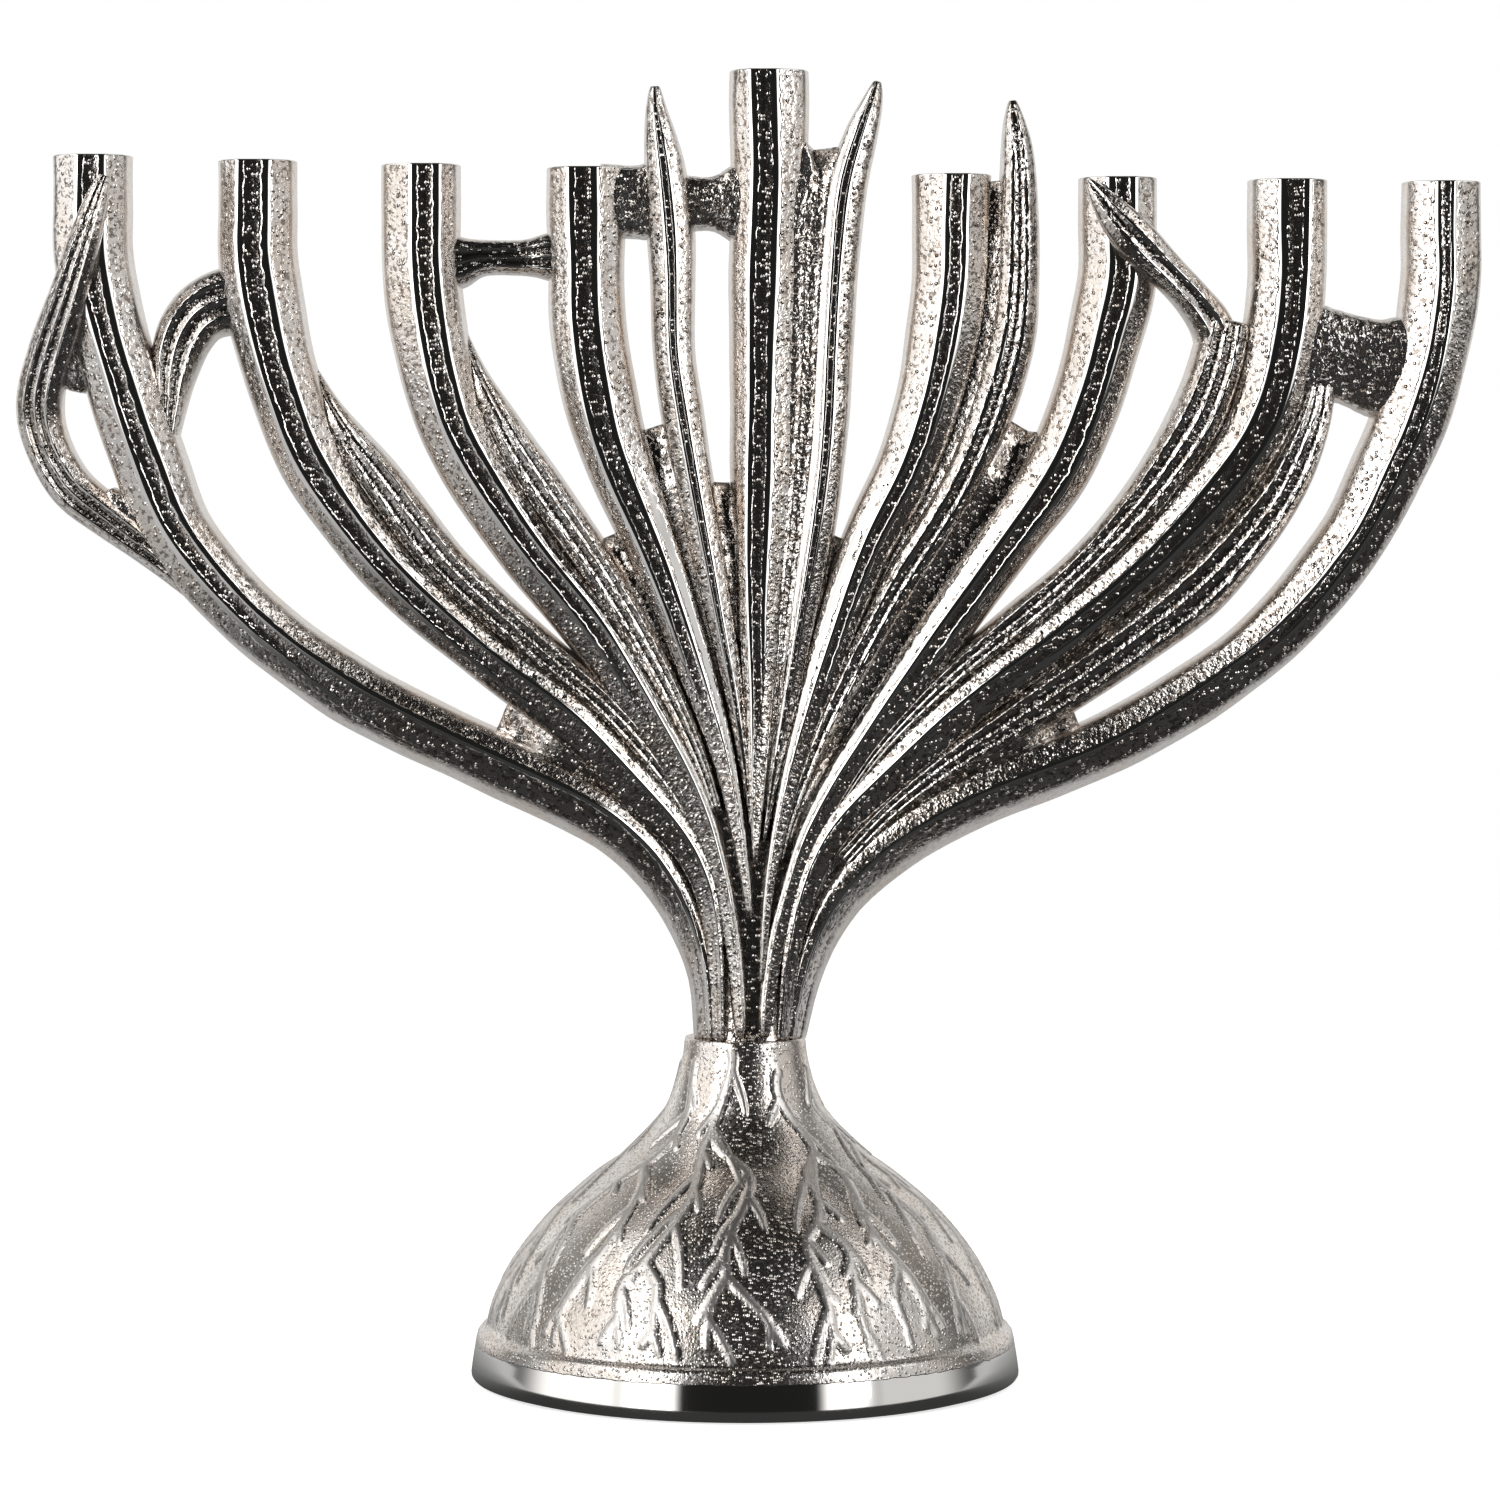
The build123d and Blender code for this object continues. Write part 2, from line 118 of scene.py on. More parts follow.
# =====================================================================================================
# Routes: each is a list of (x, z, half width), or (x, y, z, half width, half depth) for a free twig.
# =====================================================================================================
ARM_ROUTES = {
    "left_4": [
        (-129.8, 224.6, 8.0), (-127.4, 212, 7.7), (-123.4, 198, 7.9), (-119.6, 186, 7.6),
        (-112.6, 169, 7.2), (-99, 153, 6.7), (-82.2, 140.0, 7.0), (-69.2, 132.6, 6.9), (-50.3, 123.6, 6.8),
        (-32.3, 114.7, 6.4), (-23, 108.0, 5.8), (-16.4, 100.2, 5.0), (-11.4, 90.2, 3.9), (-8.7, 80.2, 2.9),
        (-7.9, 68, 2.5)],
    "left_3": [
        (-97.0, 223.6, 8.1), (-94.8, 210, 7.9), (-91.4, 197.6, 7.5), (-85.2, 182.2, 7.0),
        (-71.6, 163.0, 6.0), (-53, 146.2, 5.4), (-34.6, 132.2, 5.5), (-20, 117.2, 5.0), (-13.4, 109.8, 4.2),
        (-9.4, 103.2, 3.4), (-7.0, 95.2, 2.8), (-5.8, 84.2, 2.1), (-5.4, 68, 1.8)],
    "left_2": [
        (-64.5, 222.8, 8.1), (-63.4, 212, 7.8), (-60.6, 199, 7.6), (-55.8, 186.2, 7.3), (-43.6, 166.6, 6.4),
        (-29, 148.2, 5.7), (-17, 129.2, 4.6), (-12, 120.2, 4.0), (-8.4, 112.2, 3.4), (-5.8, 104.2, 2.7),
        (-3.8, 96.2, 2.3), (-2.0, 84.2, 1.9), (-1.2, 74, 1.7), (-1.0, 69, 0.9)],
    "left_1": [
        (-31.6, 222.2, 7.8), (-31.4, 212, 7.8), (-29.6, 200, 7.7), (-26, 186.2, 7.2), (-18, 166.2, 5.8),
        (-11, 146.2, 4.6), (-4.8, 127.2, 3.0), (-1.6, 112, 1.9), (0.2, 100.2, 1.2), (1.0, 93, 0.6)],
    "centre": [
        (4.8, 241.4, 7.8), (4.4, 226, 7.7), (4.2, 206, 7.5), (3.8, 180, 6.8), (3.2, 160, 5.6),
        (2.8, 140, 4.0), (2.4, 122, 2.4), (2.1, 108, 1.0), (2.1, 104, 0.5)],
    "right_1": [
        (41.1, 220.8, 8.0), (39.8, 210, 7.7), (36.8, 196.2, 7.0), (32, 182, 6.4), (24, 166.2, 5.6),
        (16.6, 146.2, 4.4), (10.4, 126.2, 2.8), (6.6, 110, 1.8), (4.4, 96, 1.2), (3.4, 80, 0.7)],
    "right_2": [
        (74.2, 220.2, 8.0), (72, 210, 7.7), (68.2, 196.2, 7.3), (62, 182, 6.9), (51, 166.6, 6.2),
        (38, 148.2, 5.4), (26, 131, 4.4), (18, 119, 3.8), (12.6, 109, 3.0), (9.2, 99.2, 2.4),
        (6.2, 88.2, 2.2), (4.4, 76, 1.9), (3.9, 69, 1.0)],
    "right_3": [
        (108, 219.8, 8.1), (106.8, 208, 7.9), (103.4, 194, 7.4), (96.6, 182, 7.0), (82.6, 166.3, 6.2),
        (63.4, 149.8, 5.5), (43, 134.6, 5.2), (27, 120, 4.5), (18.6, 111.2, 3.9), (14, 103.2, 3.2),
        (11.0, 94.2, 2.7), (9.0, 84.2, 2.2), (7.6, 68, 1.7)],
    "right_4": [
        (138.6, 219.4, 8.0), (136.6, 206, 7.8), (133.2, 194, 7.8), (129, 184, 7.5), (119.6, 166.2, 7.0),
        (102, 146.2, 6.5), (76.2, 129.2, 6.5), (49.2, 117.9, 6.4), (37.2, 111.8, 6.2), (27.6, 105.1, 5.6),
        (20, 97.2, 4.8), (15.0, 88.2, 3.8), (11.9, 78.2, 2.9), (10.0, 68, 2.3)],
}
# where an arm's two polished ridges lie, left and right, as a share of its half width
ARM_RIDGES = {
    "left_4": (-0.24, 0.34), "left_3": (-0.36, 0.32), "left_2": (-0.16, 0.44), "left_1": (-0.38, 0.24),
    "centre": (-0.42, 0.16), "right_1": (-0.16, 0.32), "right_2": (-0.22, 0.36), "right_3": (-0.22, 0.38),
    "right_4": (-0.14, 0.24),
}
# how polished, or below nought how darkened by painted shade, an arm's left and right facets turn below the
# cups
ARM_FACETS = {"left_4": (-0.35, -0.1), "left_3": (-0.5, 0.45), "left_2": (-0.5, 0.8), "left_1": (-0.5, 0.9),
              "centre": (0.0, -0.3), "right_1": (0.9, -0.5), "right_2": (0.8, -0.5), "right_3": (0.4, -0.5),
              "right_4": (-0.1, -0.4)}
# the same for the spikes and ribbons: below nought is painted shade
SPIKE_FACETS = {"spike_left": (-0.6, 0.0), "spike_right": (0.95, -0.6), "spike_outer": (0.3, -0.6)}
RIBBON_FACETS = (-0.2, -0.2)
# how darkened by painted shade their right facets are from the cup down
CUP_FACET_SHADE = {"centre": 0.15, "right_1": 0.15, "right_2": 0.3, "right_3": 0.35, "right_4": 0.45}
ARM_OVERLAP = 1.6        # how far a ribbon runs into the arm beside it
# spikes and ribbons taper to a tip and run down beside an arm:
# route, ridges, share of the tree's depth, shine of the ridges, and the arm
RIBBONS = {
    "ribbon_left_3": ([
        (-86.8, 204.0, 0.5), (-82.2, 195, 1.6), (-76.6, 187.4, 2.6), (-70.8, 180.2, 3.2),
        (-58.6, 164.6, 3.0), (-43, 149.6, 3.0), (-29, 136.6, 3.2), (-17, 123, 3.0), (-11, 113, 1.6)],
        (-0.45, 0.05, 0.5), 0.86, 0.55, "left_3"),
    "ribbon_left_2": ([
        (-57.0, 212.0, 0.5), (-52.8, 201.6, 1.4), (-46.4, 190.4, 2.6), (-39.6, 179.4, 3.4),
        (-27, 160.2, 3.6), (-17, 142.2, 3.2), (-9.6, 126, 2.4), (-5, 114, 1.2)], (-0.4, 0.1, 0.5), 0.86,
        0.55, "left_2"),
    "spike_left": ([
        (-17.9, 258.4, 1.1), (-17.7, 254, 2.2), (-16.8, 248, 3.4), (-15.8, 241, 4.3), (-14.8, 230, 4.9),
        (-14.4, 220, 4.7), (-14.2, 206.2, 4.3), (-12.6, 194, 4.4), (-9.6, 176.2, 4.1), (-5.6, 156.2, 3.5),
        (-1.8, 136.2, 2.4), (0.4, 120, 1.4), (1.4, 110, 0.7)], (-0.2, 0.2), 0.94, 1.0, None),
    "spike_right": ([
        (26.4, 259.4, 0.9), (25.4, 255.4, 2.2), (23.2, 249, 3.4), (20.2, 238.2, 4.2), (18.6, 224, 4.3),
        (17.6, 208, 4.2), (16.6, 190, 4.1), (14.8, 174, 3.9), (12, 156.2, 3.4), (9, 138.2, 2.6),
        (6, 122, 1.7), (3.8, 108, 0.8)], (-0.3, 0.12), 0.94, 1.0, None),
    "spike_outer": ([
        (53.2, 255.6, 0.9), (53.6, 251, 2.4), (54.2, 245, 3.4), (54.4, 236, 4.0), (54.2, 220, 4.6),
        (53, 208, 5.0), (49, 194, 4.8), (42, 178, 4.3), (31, 160, 3.9), (22.4, 144, 3.3), (15, 129, 2.5),
        (9.4, 114, 1.5), (7, 104, 0.7)], (-0.3, 0.35), 0.9, 0.7, None),
    "ribbon_right_2": ([
        (94.0, 212.2, 3.2), (92.2, 203, 4.0), (88.4, 194, 3.7), (83.6, 185, 3.5), (77, 175, 3.4),
        (66, 162.4, 3.3), (54, 152.4, 3.2), (41, 141, 3.0), (28, 127, 2.5), (20, 116, 1.6), (14, 106, 0.8)],
        (-0.5, 0.0, 0.45), 0.9, 0.6, "right_3"),
    "ribbon_right_3": ([
        (115.6, 206, 1.0), (115.0, 200, 2.6), (113.0, 192, 3.9), (107.6, 179.4, 4.9), (99.8, 168.2, 5.4),
        (89.6, 156.6, 5.4), (73.2, 144.6, 5.2), (57, 133.8, 4.6), (40, 123.6, 3.6), (28, 114, 2.6),
        (20, 104, 1.4)], (-0.5, 0.0, 0.5), 0.88, 0.55, "right_3"),
}
TWIGS = {
    "loop_twig": ([
        (-126.4, -8.4, 240.2, 1.2, 1.0), (-128.0, -9.0, 235.6, 2.4, 2.0), (-130.6, -8.8, 227, 3.3, 3.2),
        (-134.2, -7.0, 216, 4.0, 4.0), (-137.8, -3.8, 206, 4.6, 4.6), (-140.4, -1.4, 196.4, 4.9, 5.2),
        (-139.6, 0, 188.4, 4.8, 5.6), (-134.8, 0, 179.2, 4.6, 5.8), (-127.2, 0, 172.8, 4.3, 5.8),
        (-119, 0, 166.6, 3.7, 5.8), (-111, 0, 160.2, 3.3, 5.6), (-104, 0, 153.6, 2.6, 5.0)],
        (-0.5, -0.05, 0.4)),
    "thorn_twig": ([
        (67.8, -8.8, 239.2, 0.8, 1.0), (71.2, -9.4, 234.6, 2.8, 2.4), (76.6, -9.2, 228.2, 4.3, 3.6),
        (83.4, -6.4, 221.6, 3.8, 4.8), (89.2, -3.2, 215.8, 3.9, 5.6), (93.4, -1.0, 209.6, 4.4, 6.2),
        (93.4, 0, 201, 4.0, 6.0), (90, 0, 192, 3.2, 5.0)], (-0.35, 0.3)),
    "elbow_twig": ([
        (-95.5, 0, 216.4, 7.4, 5.8), (-102.8, 0, 215.8, 7.0, 5.8), (-108.4, 0, 213.4, 6.4, 5.8),
        (-111.9, 0, 208.6, 5.8, 5.8), (-113.8, 0, 202, 4.8, 5.8), (-114.4, 0, 195.6, 3.4, 5.6),
        (-115.0, 0, 189, 2.2, 5.2), (-116.0, 0, 182, 1.2, 4.6)], (-0.5, 0.0, 0.5)),
    "rung": ([
        (-62, 0, 223.4, 6.8, 5.6), (-56.0, 0, 223.6, 5.2, 5.0), (-52.6, 0, 224.4, 3.7, 4.4),
        (-44, 0, 224.4, 3.6, 4.2), (-40.2, 0, 224.6, 4.6, 5.0), (-34, 0, 224.6, 6.6, 5.6)],
        (-0.5, 0.0, 0.5)),
}
PLATE_GRAIN = 4.5        # how much coarser the plates' grain stands than the limbs'
# flat pebbled plates between limbs
WEBS = {
    "web_left": [
        (-29, 0, 235.4, 8.0, 6.4), (-24.4, 0, 235.5, 7.5, 6.2), (-20.6, 0, 235.4, 7.6, 6.2),
        (-15, 0, 236, 9.0, 6.4)],
    "web_centre_left": [
        (-16, 0, 235.1, 6.8, 6.4), (-10.8, 0, 235.1, 5.6, 6.0), (-7.4, 0, 235.1, 5.3, 5.8),
        (-5, 0, 235.1, 6.0, 6.0), (-3.2, 0, 235.1, 7.4, 6.2), (1, 0, 235.1, 9.4, 6.6)],
    "web_right": [
        (108, 0, 205.6, 12.0, 6.4), (115.0, 0, 205.0, 10.2, 6.2), (120.4, 0, 204.2, 9.2, 6.0),
        (126, 0, 202.6, 10.0, 6.2), (133, 0, 201.6, 12.4, 6.6)],
    "loop_web_high": [
        (-134.6, 0, 214, 3.6, 4.6), (-132.6, 0, 208, 5.6, 5.0), (-132.4, 0, 203, 5.2, 4.8),
        (-133.0, 0, 199.6, 3.8, 4.2), (-133.4, 0, 197.8, 2.0, 3.2)],
    "loop_web_low": [
        (-126.8, 0, 178.4, 1.0, 3.6), (-125.4, 0, 175.6, 2.6, 4.6), (-122.4, 0, 171.4, 3.0, 4.8),
        (-119, 0, 167, 2.4, 4.4)],
}


# the metal that fills the valley between two neighbours, from its crotch down: left, right, top z
VALLEYS = [
    ("left_4", "left_3", 131.6), ("left_3", "ribbon_left_3", 201.0),
    ("ribbon_left_3", "left_2", 143.0), ("left_2", "ribbon_left_2", 208.0),
    ("ribbon_left_2", "left_1", 170.0), ("left_1", "spike_left", 191.0),
    ("spike_left", "centre", 180.4), ("spike_right", "right_1", 169.0),
    ("right_1", "spike_outer", 240.0), ("spike_outer", "right_2", 191.0),
    ("right_2", "ribbon_right_2", 150.0), ("ribbon_right_2", "right_3", 208.0),
    ("right_3", "ribbon_right_3", 205.0), ("ribbon_right_3", "right_4", 132.0),
]


# =====================================================================================================
# Small helpers
# =====================================================================================================
def deselect():
    for thing in bpy.context.view_layer.objects:
        thing.select_set(False)
    bpy.context.view_layer.objects.active = None


def make_active(piece):
    deselect()
    piece.select_set(True)
    bpy.context.view_layer.objects.active = piece


def in_edit_mode(piece, *steps):
    """Runs each step in edit mode with everything selected."""
    make_active(piece)
    bpy.ops.object.mode_set(mode="EDIT")
    for step in steps:
        bpy.ops.mesh.select_all(action="SELECT")
        step()
    bpy.ops.object.mode_set(mode="OBJECT")


def apply_modifiers(piece):
    make_active(piece)
    for modifier in list(piece.modifiers):
        bpy.ops.object.modifier_apply(modifier=modifier.name)


def weld():
    bpy.ops.mesh.remove_doubles(threshold=WELD_GAP * MM)


def face_outwards():
    bpy.ops.mesh.normals_make_consistent(inside=False)


def smooth_step(low, high, value):
    share = np.clip((value - low) / (high - low), 0.0, 1.0)
    return share * share * (3 - 2 * share)


def put_on(piece, finish):
    piece.data.materials.clear()
    piece.data.materials.append(finish_of(finish))


def finish_piece(piece, slot, finish, *nodes):
    """Gives a piece its material and its body, and hides the CAD nodes that it stands for. The slot is not
    used.
    """
    put_on(piece, finish)
    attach(piece, BODY)
    if nodes:
        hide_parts(*nodes)


# =====================================================================================================
# Rolling a grid round a route
# =====================================================================================================
def smooth_route(points, spacing):
    """Catmull-Rom curve through the points, at even steps along its length."""
    knots = np.array(points, float)
    knots = np.vstack([2 * knots[0] - knots[1], knots, 2 * knots[-1] - knots[-2]])
    fine = []
    for p0, p1, p2, p3 in zip(knots, knots[1:], knots[2:], knots[3:]):
        for t in np.linspace(0, 1, 24, endpoint=False):
            fine.append(0.5 * (2 * p1 + (p2 - p0) * t + (2 * p0 - 5 * p1 + 4 * p2 - p3) * t * t
                               + (3 * p1 - p0 - 3 * p2 + p3) * t ** 3))
    fine = np.array(fine + [knots[-2]])
    run = np.concatenate([[0], np.cumsum(np.linalg.norm(np.diff(fine[:, :3], axis=0), axis=1))])
    count = max(4, int(round(run[-1] / spacing)))
    steps = np.linspace(0, run[-1], count + 1)
    return np.column_stack([np.interp(steps, run, fine[:, k]) for k in range(fine.shape[1])]), steps


def tree_depth(x, z):
    """Half the thickness of the tree: round at the neck, and flatter and even out among the arms."""
    off_middle = (x - np.interp(z, *TREE_MIDDLE)) / np.interp(z, *TREE_HALF_WIDTH)
    round_share = np.sqrt(np.clip(1 - off_middle ** 2, 0.12, 1))
    flat = smooth_step(*FLAT_HEIGHTS, z)
    return np.interp(z, *TREE_HALF_DEPTH) * (round_share * (1 - flat) + flat)


def fluted(ridges, seed, corners=CORNERS, shine=1.0, dip=0.965, groove_shade=0.0, facets=(0.0, 0.0), main=None,
           flattest=1.0, dull=0.0):
    """Section of a ridged limb, as a function of the share and length run along it, its z and half width.

    The function gives the front half from left to right: rows of (u, v, polish, wall, shade). u is across,
    as a share of the half width, and v is forward, as a share of the half depth. As the limb narrows its
    front grows flatter, so that the facets keep their slant. An arm has a main ridge, and down in the crown
    the others fold into it.
    """
    chance = random.Random(seed)
    phase = [chance.uniform(0, 2 * math.pi) for _ in range(4)]
    shoulder = min(0.15, (ridges[1] - ridges[0]) * 0.27) if len(ridges) < 3 else 0.09

    def section(share, run, z, wide):
        low, high = (corner(share) if callable(corner) else corner for corner in corners)
        full = float(smooth_step(1.4, 4.2, wide))
        crown = float(smooth_step(*FACET_SHINE_HEIGHTS, z)) if main is not None else 1.0
        fold = float(smooth_step(*FOLD_HEIGHTS, z)) if main is not None else 0.0
        slant = min(1.0, max(flattest, wide / FULL_WIDTH))
        sway = 0.035 * math.sin(run / 17 + phase[0])
        crests = [ridge + sway + 0.02 * math.sin(run / 9 + phase[1 + k % 3])
                  for k, ridge in enumerate(ridges)]
        shines = [max(0.0, facet) * crown for facet in facets]
        lower = float(smooth_step(*FACET_SHADE_HEIGHTS, z)) if main is not None else 1.0
        # painted shade on the facets, more of it lower down
        facet_shade = [max(0.0, -facets[0]) * lower, max(dull, -facets[1] * lower)]

        def front(u, v):
            if main is None or u == crests[main]:
                return 1 - (1 - v) * slant
            edge = low if u < crests[main] else high
            roof = 1 - ROOF_DROP * abs(u - crests[main]) / abs(edge - crests[main])
            return 1 - (1 - v + (v - roof) * fold) * slant

        def row(u, v, polish, wall, shade):
            return (u, front(u, v), polish, wall, shade)

        # the corners get painted shade, more of it lower down, to darken the valley bottoms
        corner_marks = (0.1, 0.6, 0.15 + 0.3 * lower)
        rows = [(-1.0, 0.0, 0.0, 1.0, 0.0), ((low - 1) / 2 - 0.02, SIDE, 0.0, 1.0, 0.0),
                row(low, CORNER, *corner_marks),
                row((low + crests[0]) / 2, FACET, shines[0], 0.0, facet_shade[0])]
        for k, crest in enumerate(crests):
            if k:
                # the strips between ridges get painted shade, which also coarsens their grain
                rows.append(row((crests[k - 1] + crest) / 2, 1 - (1 - dip) * (0.4 + 0.6 * full),
                                (0.2 + 0.1 * crown) * (1 - fold), 0.0, max(groove_shade, 0.4 + 0.15 * fold)))
            gleam = shine * (full * (1 - fold) if main not in (None, k) else 0.5 + 0.5 * full)
            inner = 0.5 + dip / 2
            # the ridges' feet take a little of the grooves' painted shade
            foot_marks = (0.3 * gleam, 0.0, groove_shade * 0.3)
            rows += [row(crest - shoulder, inner if k else RIDGE_FOOT, *foot_marks),
                     row(crest, 1.0, gleam, 0.0, 0.0),
                     row(crest + shoulder, inner if k < len(crests) - 1 else RIDGE_FOOT, *foot_marks)]
        rows += [row((high + crests[-1]) / 2, FACET, shines[1], 0.0, facet_shade[1]),
                 row(high, CORNER, *corner_marks),
                 ((high + 1) / 2 + 0.02, SIDE, 0.0, 1.0, 0.0), (1.0, 0.0, 0.0, 1.0, 0.0)]
        return np.array(rows)
    return section


def plain_section(half):
    """Section with the same front all along, mirrored from its right half: rows of (u, v, wall, shade)."""
    right = [(u, v, 0.0, wall, shade) for u, v, wall, shade in half]
    left = [(-u, *rest) for u, *rest in reversed(right) if u]
    rows = np.array(left + right)
    return lambda share, run, z, wide: rows


# the shade column paints shade into the colour: deepest down the middle of a valley, light on the plates,
# where it also coarsens the grain
HOLLOW = plain_section([(0.0, 0.57, 0.0, 0.95), (0.22, 0.61, 0.0, 0.55), (0.5, 0.68, 0.0, 0.2),
                        (0.88, 0.74, 0.0, 0.0), (0.97, 0.5, 0.0, 0.0), (1.0, 0.0, 0.0, 0.0)])
PLATE = plain_section([(0.0, 1.0, 0.0, 0.35), (0.42, 0.97, 0.0, 0.35), (0.8, 0.87, 0.0, 0.3),
                       (0.95, 0.55, 0.6, 0.0), (1.0, 0.0, 1.0, 0.0)])


def full_section(front):
    """The front half with its mirror image behind it, once round."""
    back = front[-2:0:-1] * np.array([1, -1, 1, 1, 1])
    return np.vstack([front, back])


def roll_grid(name, rows, marks):
    """A grid rolled into a closed skin, with a value per point for each mark.

    rows is an array of stations by section points by 3, and marks one of stations by points by MARKS.
    """
    stations, around = rows.shape[:2]
    deselect()
    bpy.ops.mesh.primitive_grid_add(x_subdivisions=around, y_subdivisions=stations - 1, size=1)
    piece = bpy.context.object
    piece.name = piece.data.name = name
    seamed = np.concatenate([rows, rows[:, :1]], axis=1)
    piece.data.vertices.foreach_set("co", (seamed * MM).astype(np.float32).ravel())
    for k, label in enumerate(MARKS):
        layer = piece.data.attributes.new(label, "FLOAT", "POINT")
        table = np.concatenate([marks[:, :, k], marks[:, :1, k]], axis=1)
        layer.data.foreach_set("value", table.astype(np.float32).ravel())
    in_edit_mode(piece, weld, face_outwards)
    return piece


def polish_of(piece):
    shine = np.zeros(len(piece.data.vertices), np.float32)
    piece.data.attributes["polish"].data.foreach_get("value", shine)
    return shine


def crease_ridges(piece):
    """Holds an edge crisp where both its ends are polished."""
    bright = polish_of(piece) > CREASE_FROM
    ends = np.zeros(len(piece.data.edges) * 2, np.int32)
    piece.data.edges.foreach_get("vertices", ends)
    ends = ends.reshape(-1, 2)
    held = np.where(bright[ends[:, 0]] & bright[ends[:, 1]], RIDGE_CREASE, 0.0)
    layer = piece.data.attributes.new("crease_edge", "FLOAT", "EDGE")
    layer.data.foreach_set("value", held.astype(np.float32))


def pebble(piece, height):
    """Raises a cast-sand grain on the skin, except where it is polished."""
    shine = np.round(polish_of(piece), 1)
    group = piece.vertex_groups.new(name="grain")
    for level in np.unique(shine):
        group.add(np.flatnonzero(shine == level).tolist(), float(max(0.0, 1 - level * 1.3)), "REPLACE")
    texture = bpy.data.textures.get("cast_grain") or bpy.data.textures.new("cast_grain", "CLOUDS")
    texture.noise_scale = GRAIN_WIDTH * MM
    texture.noise_depth = 1
    displace = piece.modifiers.new("grain", "DISPLACE")
    displace.texture = texture
    displace.texture_coords = "LOCAL"
    displace.strength = height * MM
    displace.mid_level = 0.5
    displace.vertex_group = "grain"


def shade_smooth(piece):
    make_active(piece)
    bpy.ops.object.shade_smooth()


def limb(name, points, section_of, depth_share=1.0, cup=None, seed=0, spacing=2.6, notch=None, rise=0.45):
    """A limb along a route. Points without a y of their own follow the tree's depth.

    One with a notch, (middle, half width) as shares of its own half width, has a notched top in place of a
    tip, which starts at a share, rise, of its full depth.
    """
    in_plane = len(points[0]) == 3
    if in_plane:
        points = [(x, 0.0, z, wide, 0.0) for x, z, wide in points]
    route, run = smooth_route(points, spacing)
    chance = random.Random(seed)
    phase = [chance.uniform(0, 2 * math.pi) for _ in range(2)]
    rows, marks = [], []
    travel = np.gradient(route[:, :3], axis=0)
    travel /= np.linalg.norm(travel, axis=1)[:, None]
    for i, (x, y, z, wide, deep) in enumerate(route):
        share = run[i] / run[-1]
        along = travel[i]
        section = full_section(section_of(share, run[i], z, wide))
        front = np.array([0.0, -1.0, 0.0])
        front = front - along * front.dot(along)
        front /= np.linalg.norm(front)
        across = np.cross(front, along)
        wobble = 1 + 0.012 * math.sin(run[i] / 5.5 + phase[0]) + 0.008 * math.sin(run[i] / 2.9 + phase[1])
        flat = np.array([x, y, z]) + np.outer(section[:, 0] * wide * wobble, across)
        if in_plane:
            reach = tree_depth(flat[:, 0], flat[:, 2]) * depth_share
            if notch is None and cup is None and share < TIP_SHARE:
                reach = np.minimum(reach, wide * 1.7 + 0.4)
            if notch is not None:
                ripe = smooth_step(0, CROTCH_DEPTH, run[i])
                reach = reach * (rise + (1 - rise) * ripe)
                middle, half = notch
                dent = 0.5 + 0.5 * np.cos(math.pi * np.clip((section[:, 0] - middle) / half, -1, 1))
                flat += np.outer(dent, along) * (NOTCH_DEPTH + wide * half * NOTCH_SHARE) * (1 - ripe)
        else:
            reach = np.full(len(section), deep)
        rows.append(flat + np.outer(section[:, 1] * reach, front))
        marks.append(section[:, 2:])
    rows, marks = close_ends(np.array(rows), np.array(marks), cup)
    piece = roll_grid(name, rows, marks)
    crease_ridges(piece)
    return piece


def shrunk(ring, share):
    """A ring drawn in towards its middle."""
    centre = ring.mean(axis=0)
    return centre + (ring - centre) * share


def close_ends(rows, marks, cup):
    """Caps the lower end, and gives the upper end either a tip or a candle bore."""
    plain = np.zeros_like(marks[0])
    if cup is None:
        high, high_marks = [shrunk(rows[0], 0.0), shrunk(rows[0], 0.6)], [plain, plain]
    else:
        high, high_marks = candle_bore(rows[0], cup, marks[0])
    rows = np.concatenate([high, rows, [shrunk(rows[-1], 0.6), shrunk(rows[-1], 0.0)]])
    return rows, np.concatenate([high_marks, marks, [plain, plain]])


def candle_bore(ring, cup, marks):
    """Rings from the middle of the bore's floor up its wall and out over the rim."""
    centre_x, top, radius, depth = cup
    angle = np.arctan2(ring[:, 1], ring[:, 0] - centre_x)
    circle = np.column_stack([np.cos(angle), np.sin(angle), np.zeros(len(ring))])
    middle = np.array([centre_x, 0.0, 0.0])
    rings = []
    for share, z in ((0.0, top - depth), (0.7, top - depth), (1.0, top - depth), (1.0, top - depth + 1),
                     (1.0, top - depth / 2), (1.0, top - 1.2), (1.0, top - 0.2), (1.06, top)):
        rings.append(middle + circle * radius * share + np.array([0, 0, z]))
    outer = ring.copy()
    outer[:, 2] = top
    inner = rings[-1]
    rings += [inner + (outer - inner) * 0.75, inner + (outer - inner) * 0.97]
    low_lip = ring.copy()
    low_lip[:, 2] = top - 0.35
    rings.append(low_lip)
    plain = np.zeros(len(ring))
    shines = [plain + 0.45] * 6 + [plain + 0.7] * 4 + [np.maximum(marks[:, 0], 0.6)]
    return rings, [np.column_stack([shine, plain, plain]) for shine in shines]


# =====================================================================================================
# Materials
# =====================================================================================================
PIT_OXIDE_AND_SHADE_TINT = (0.34, 0.30, 0.27)       # the grain's pits, against the plate's own colour: partly oxide in the pits, partly painted shade and painted dark reflection of the pebbles
BLOTCH_TINT = (0.95, 0.90, 0.85)
ROOT_TINT = (0.84, 0.84, 0.84)
POLISHED_COLOUR = (0.95, 0.94, 0.92)
POLISHED_ROUGH = 0.07
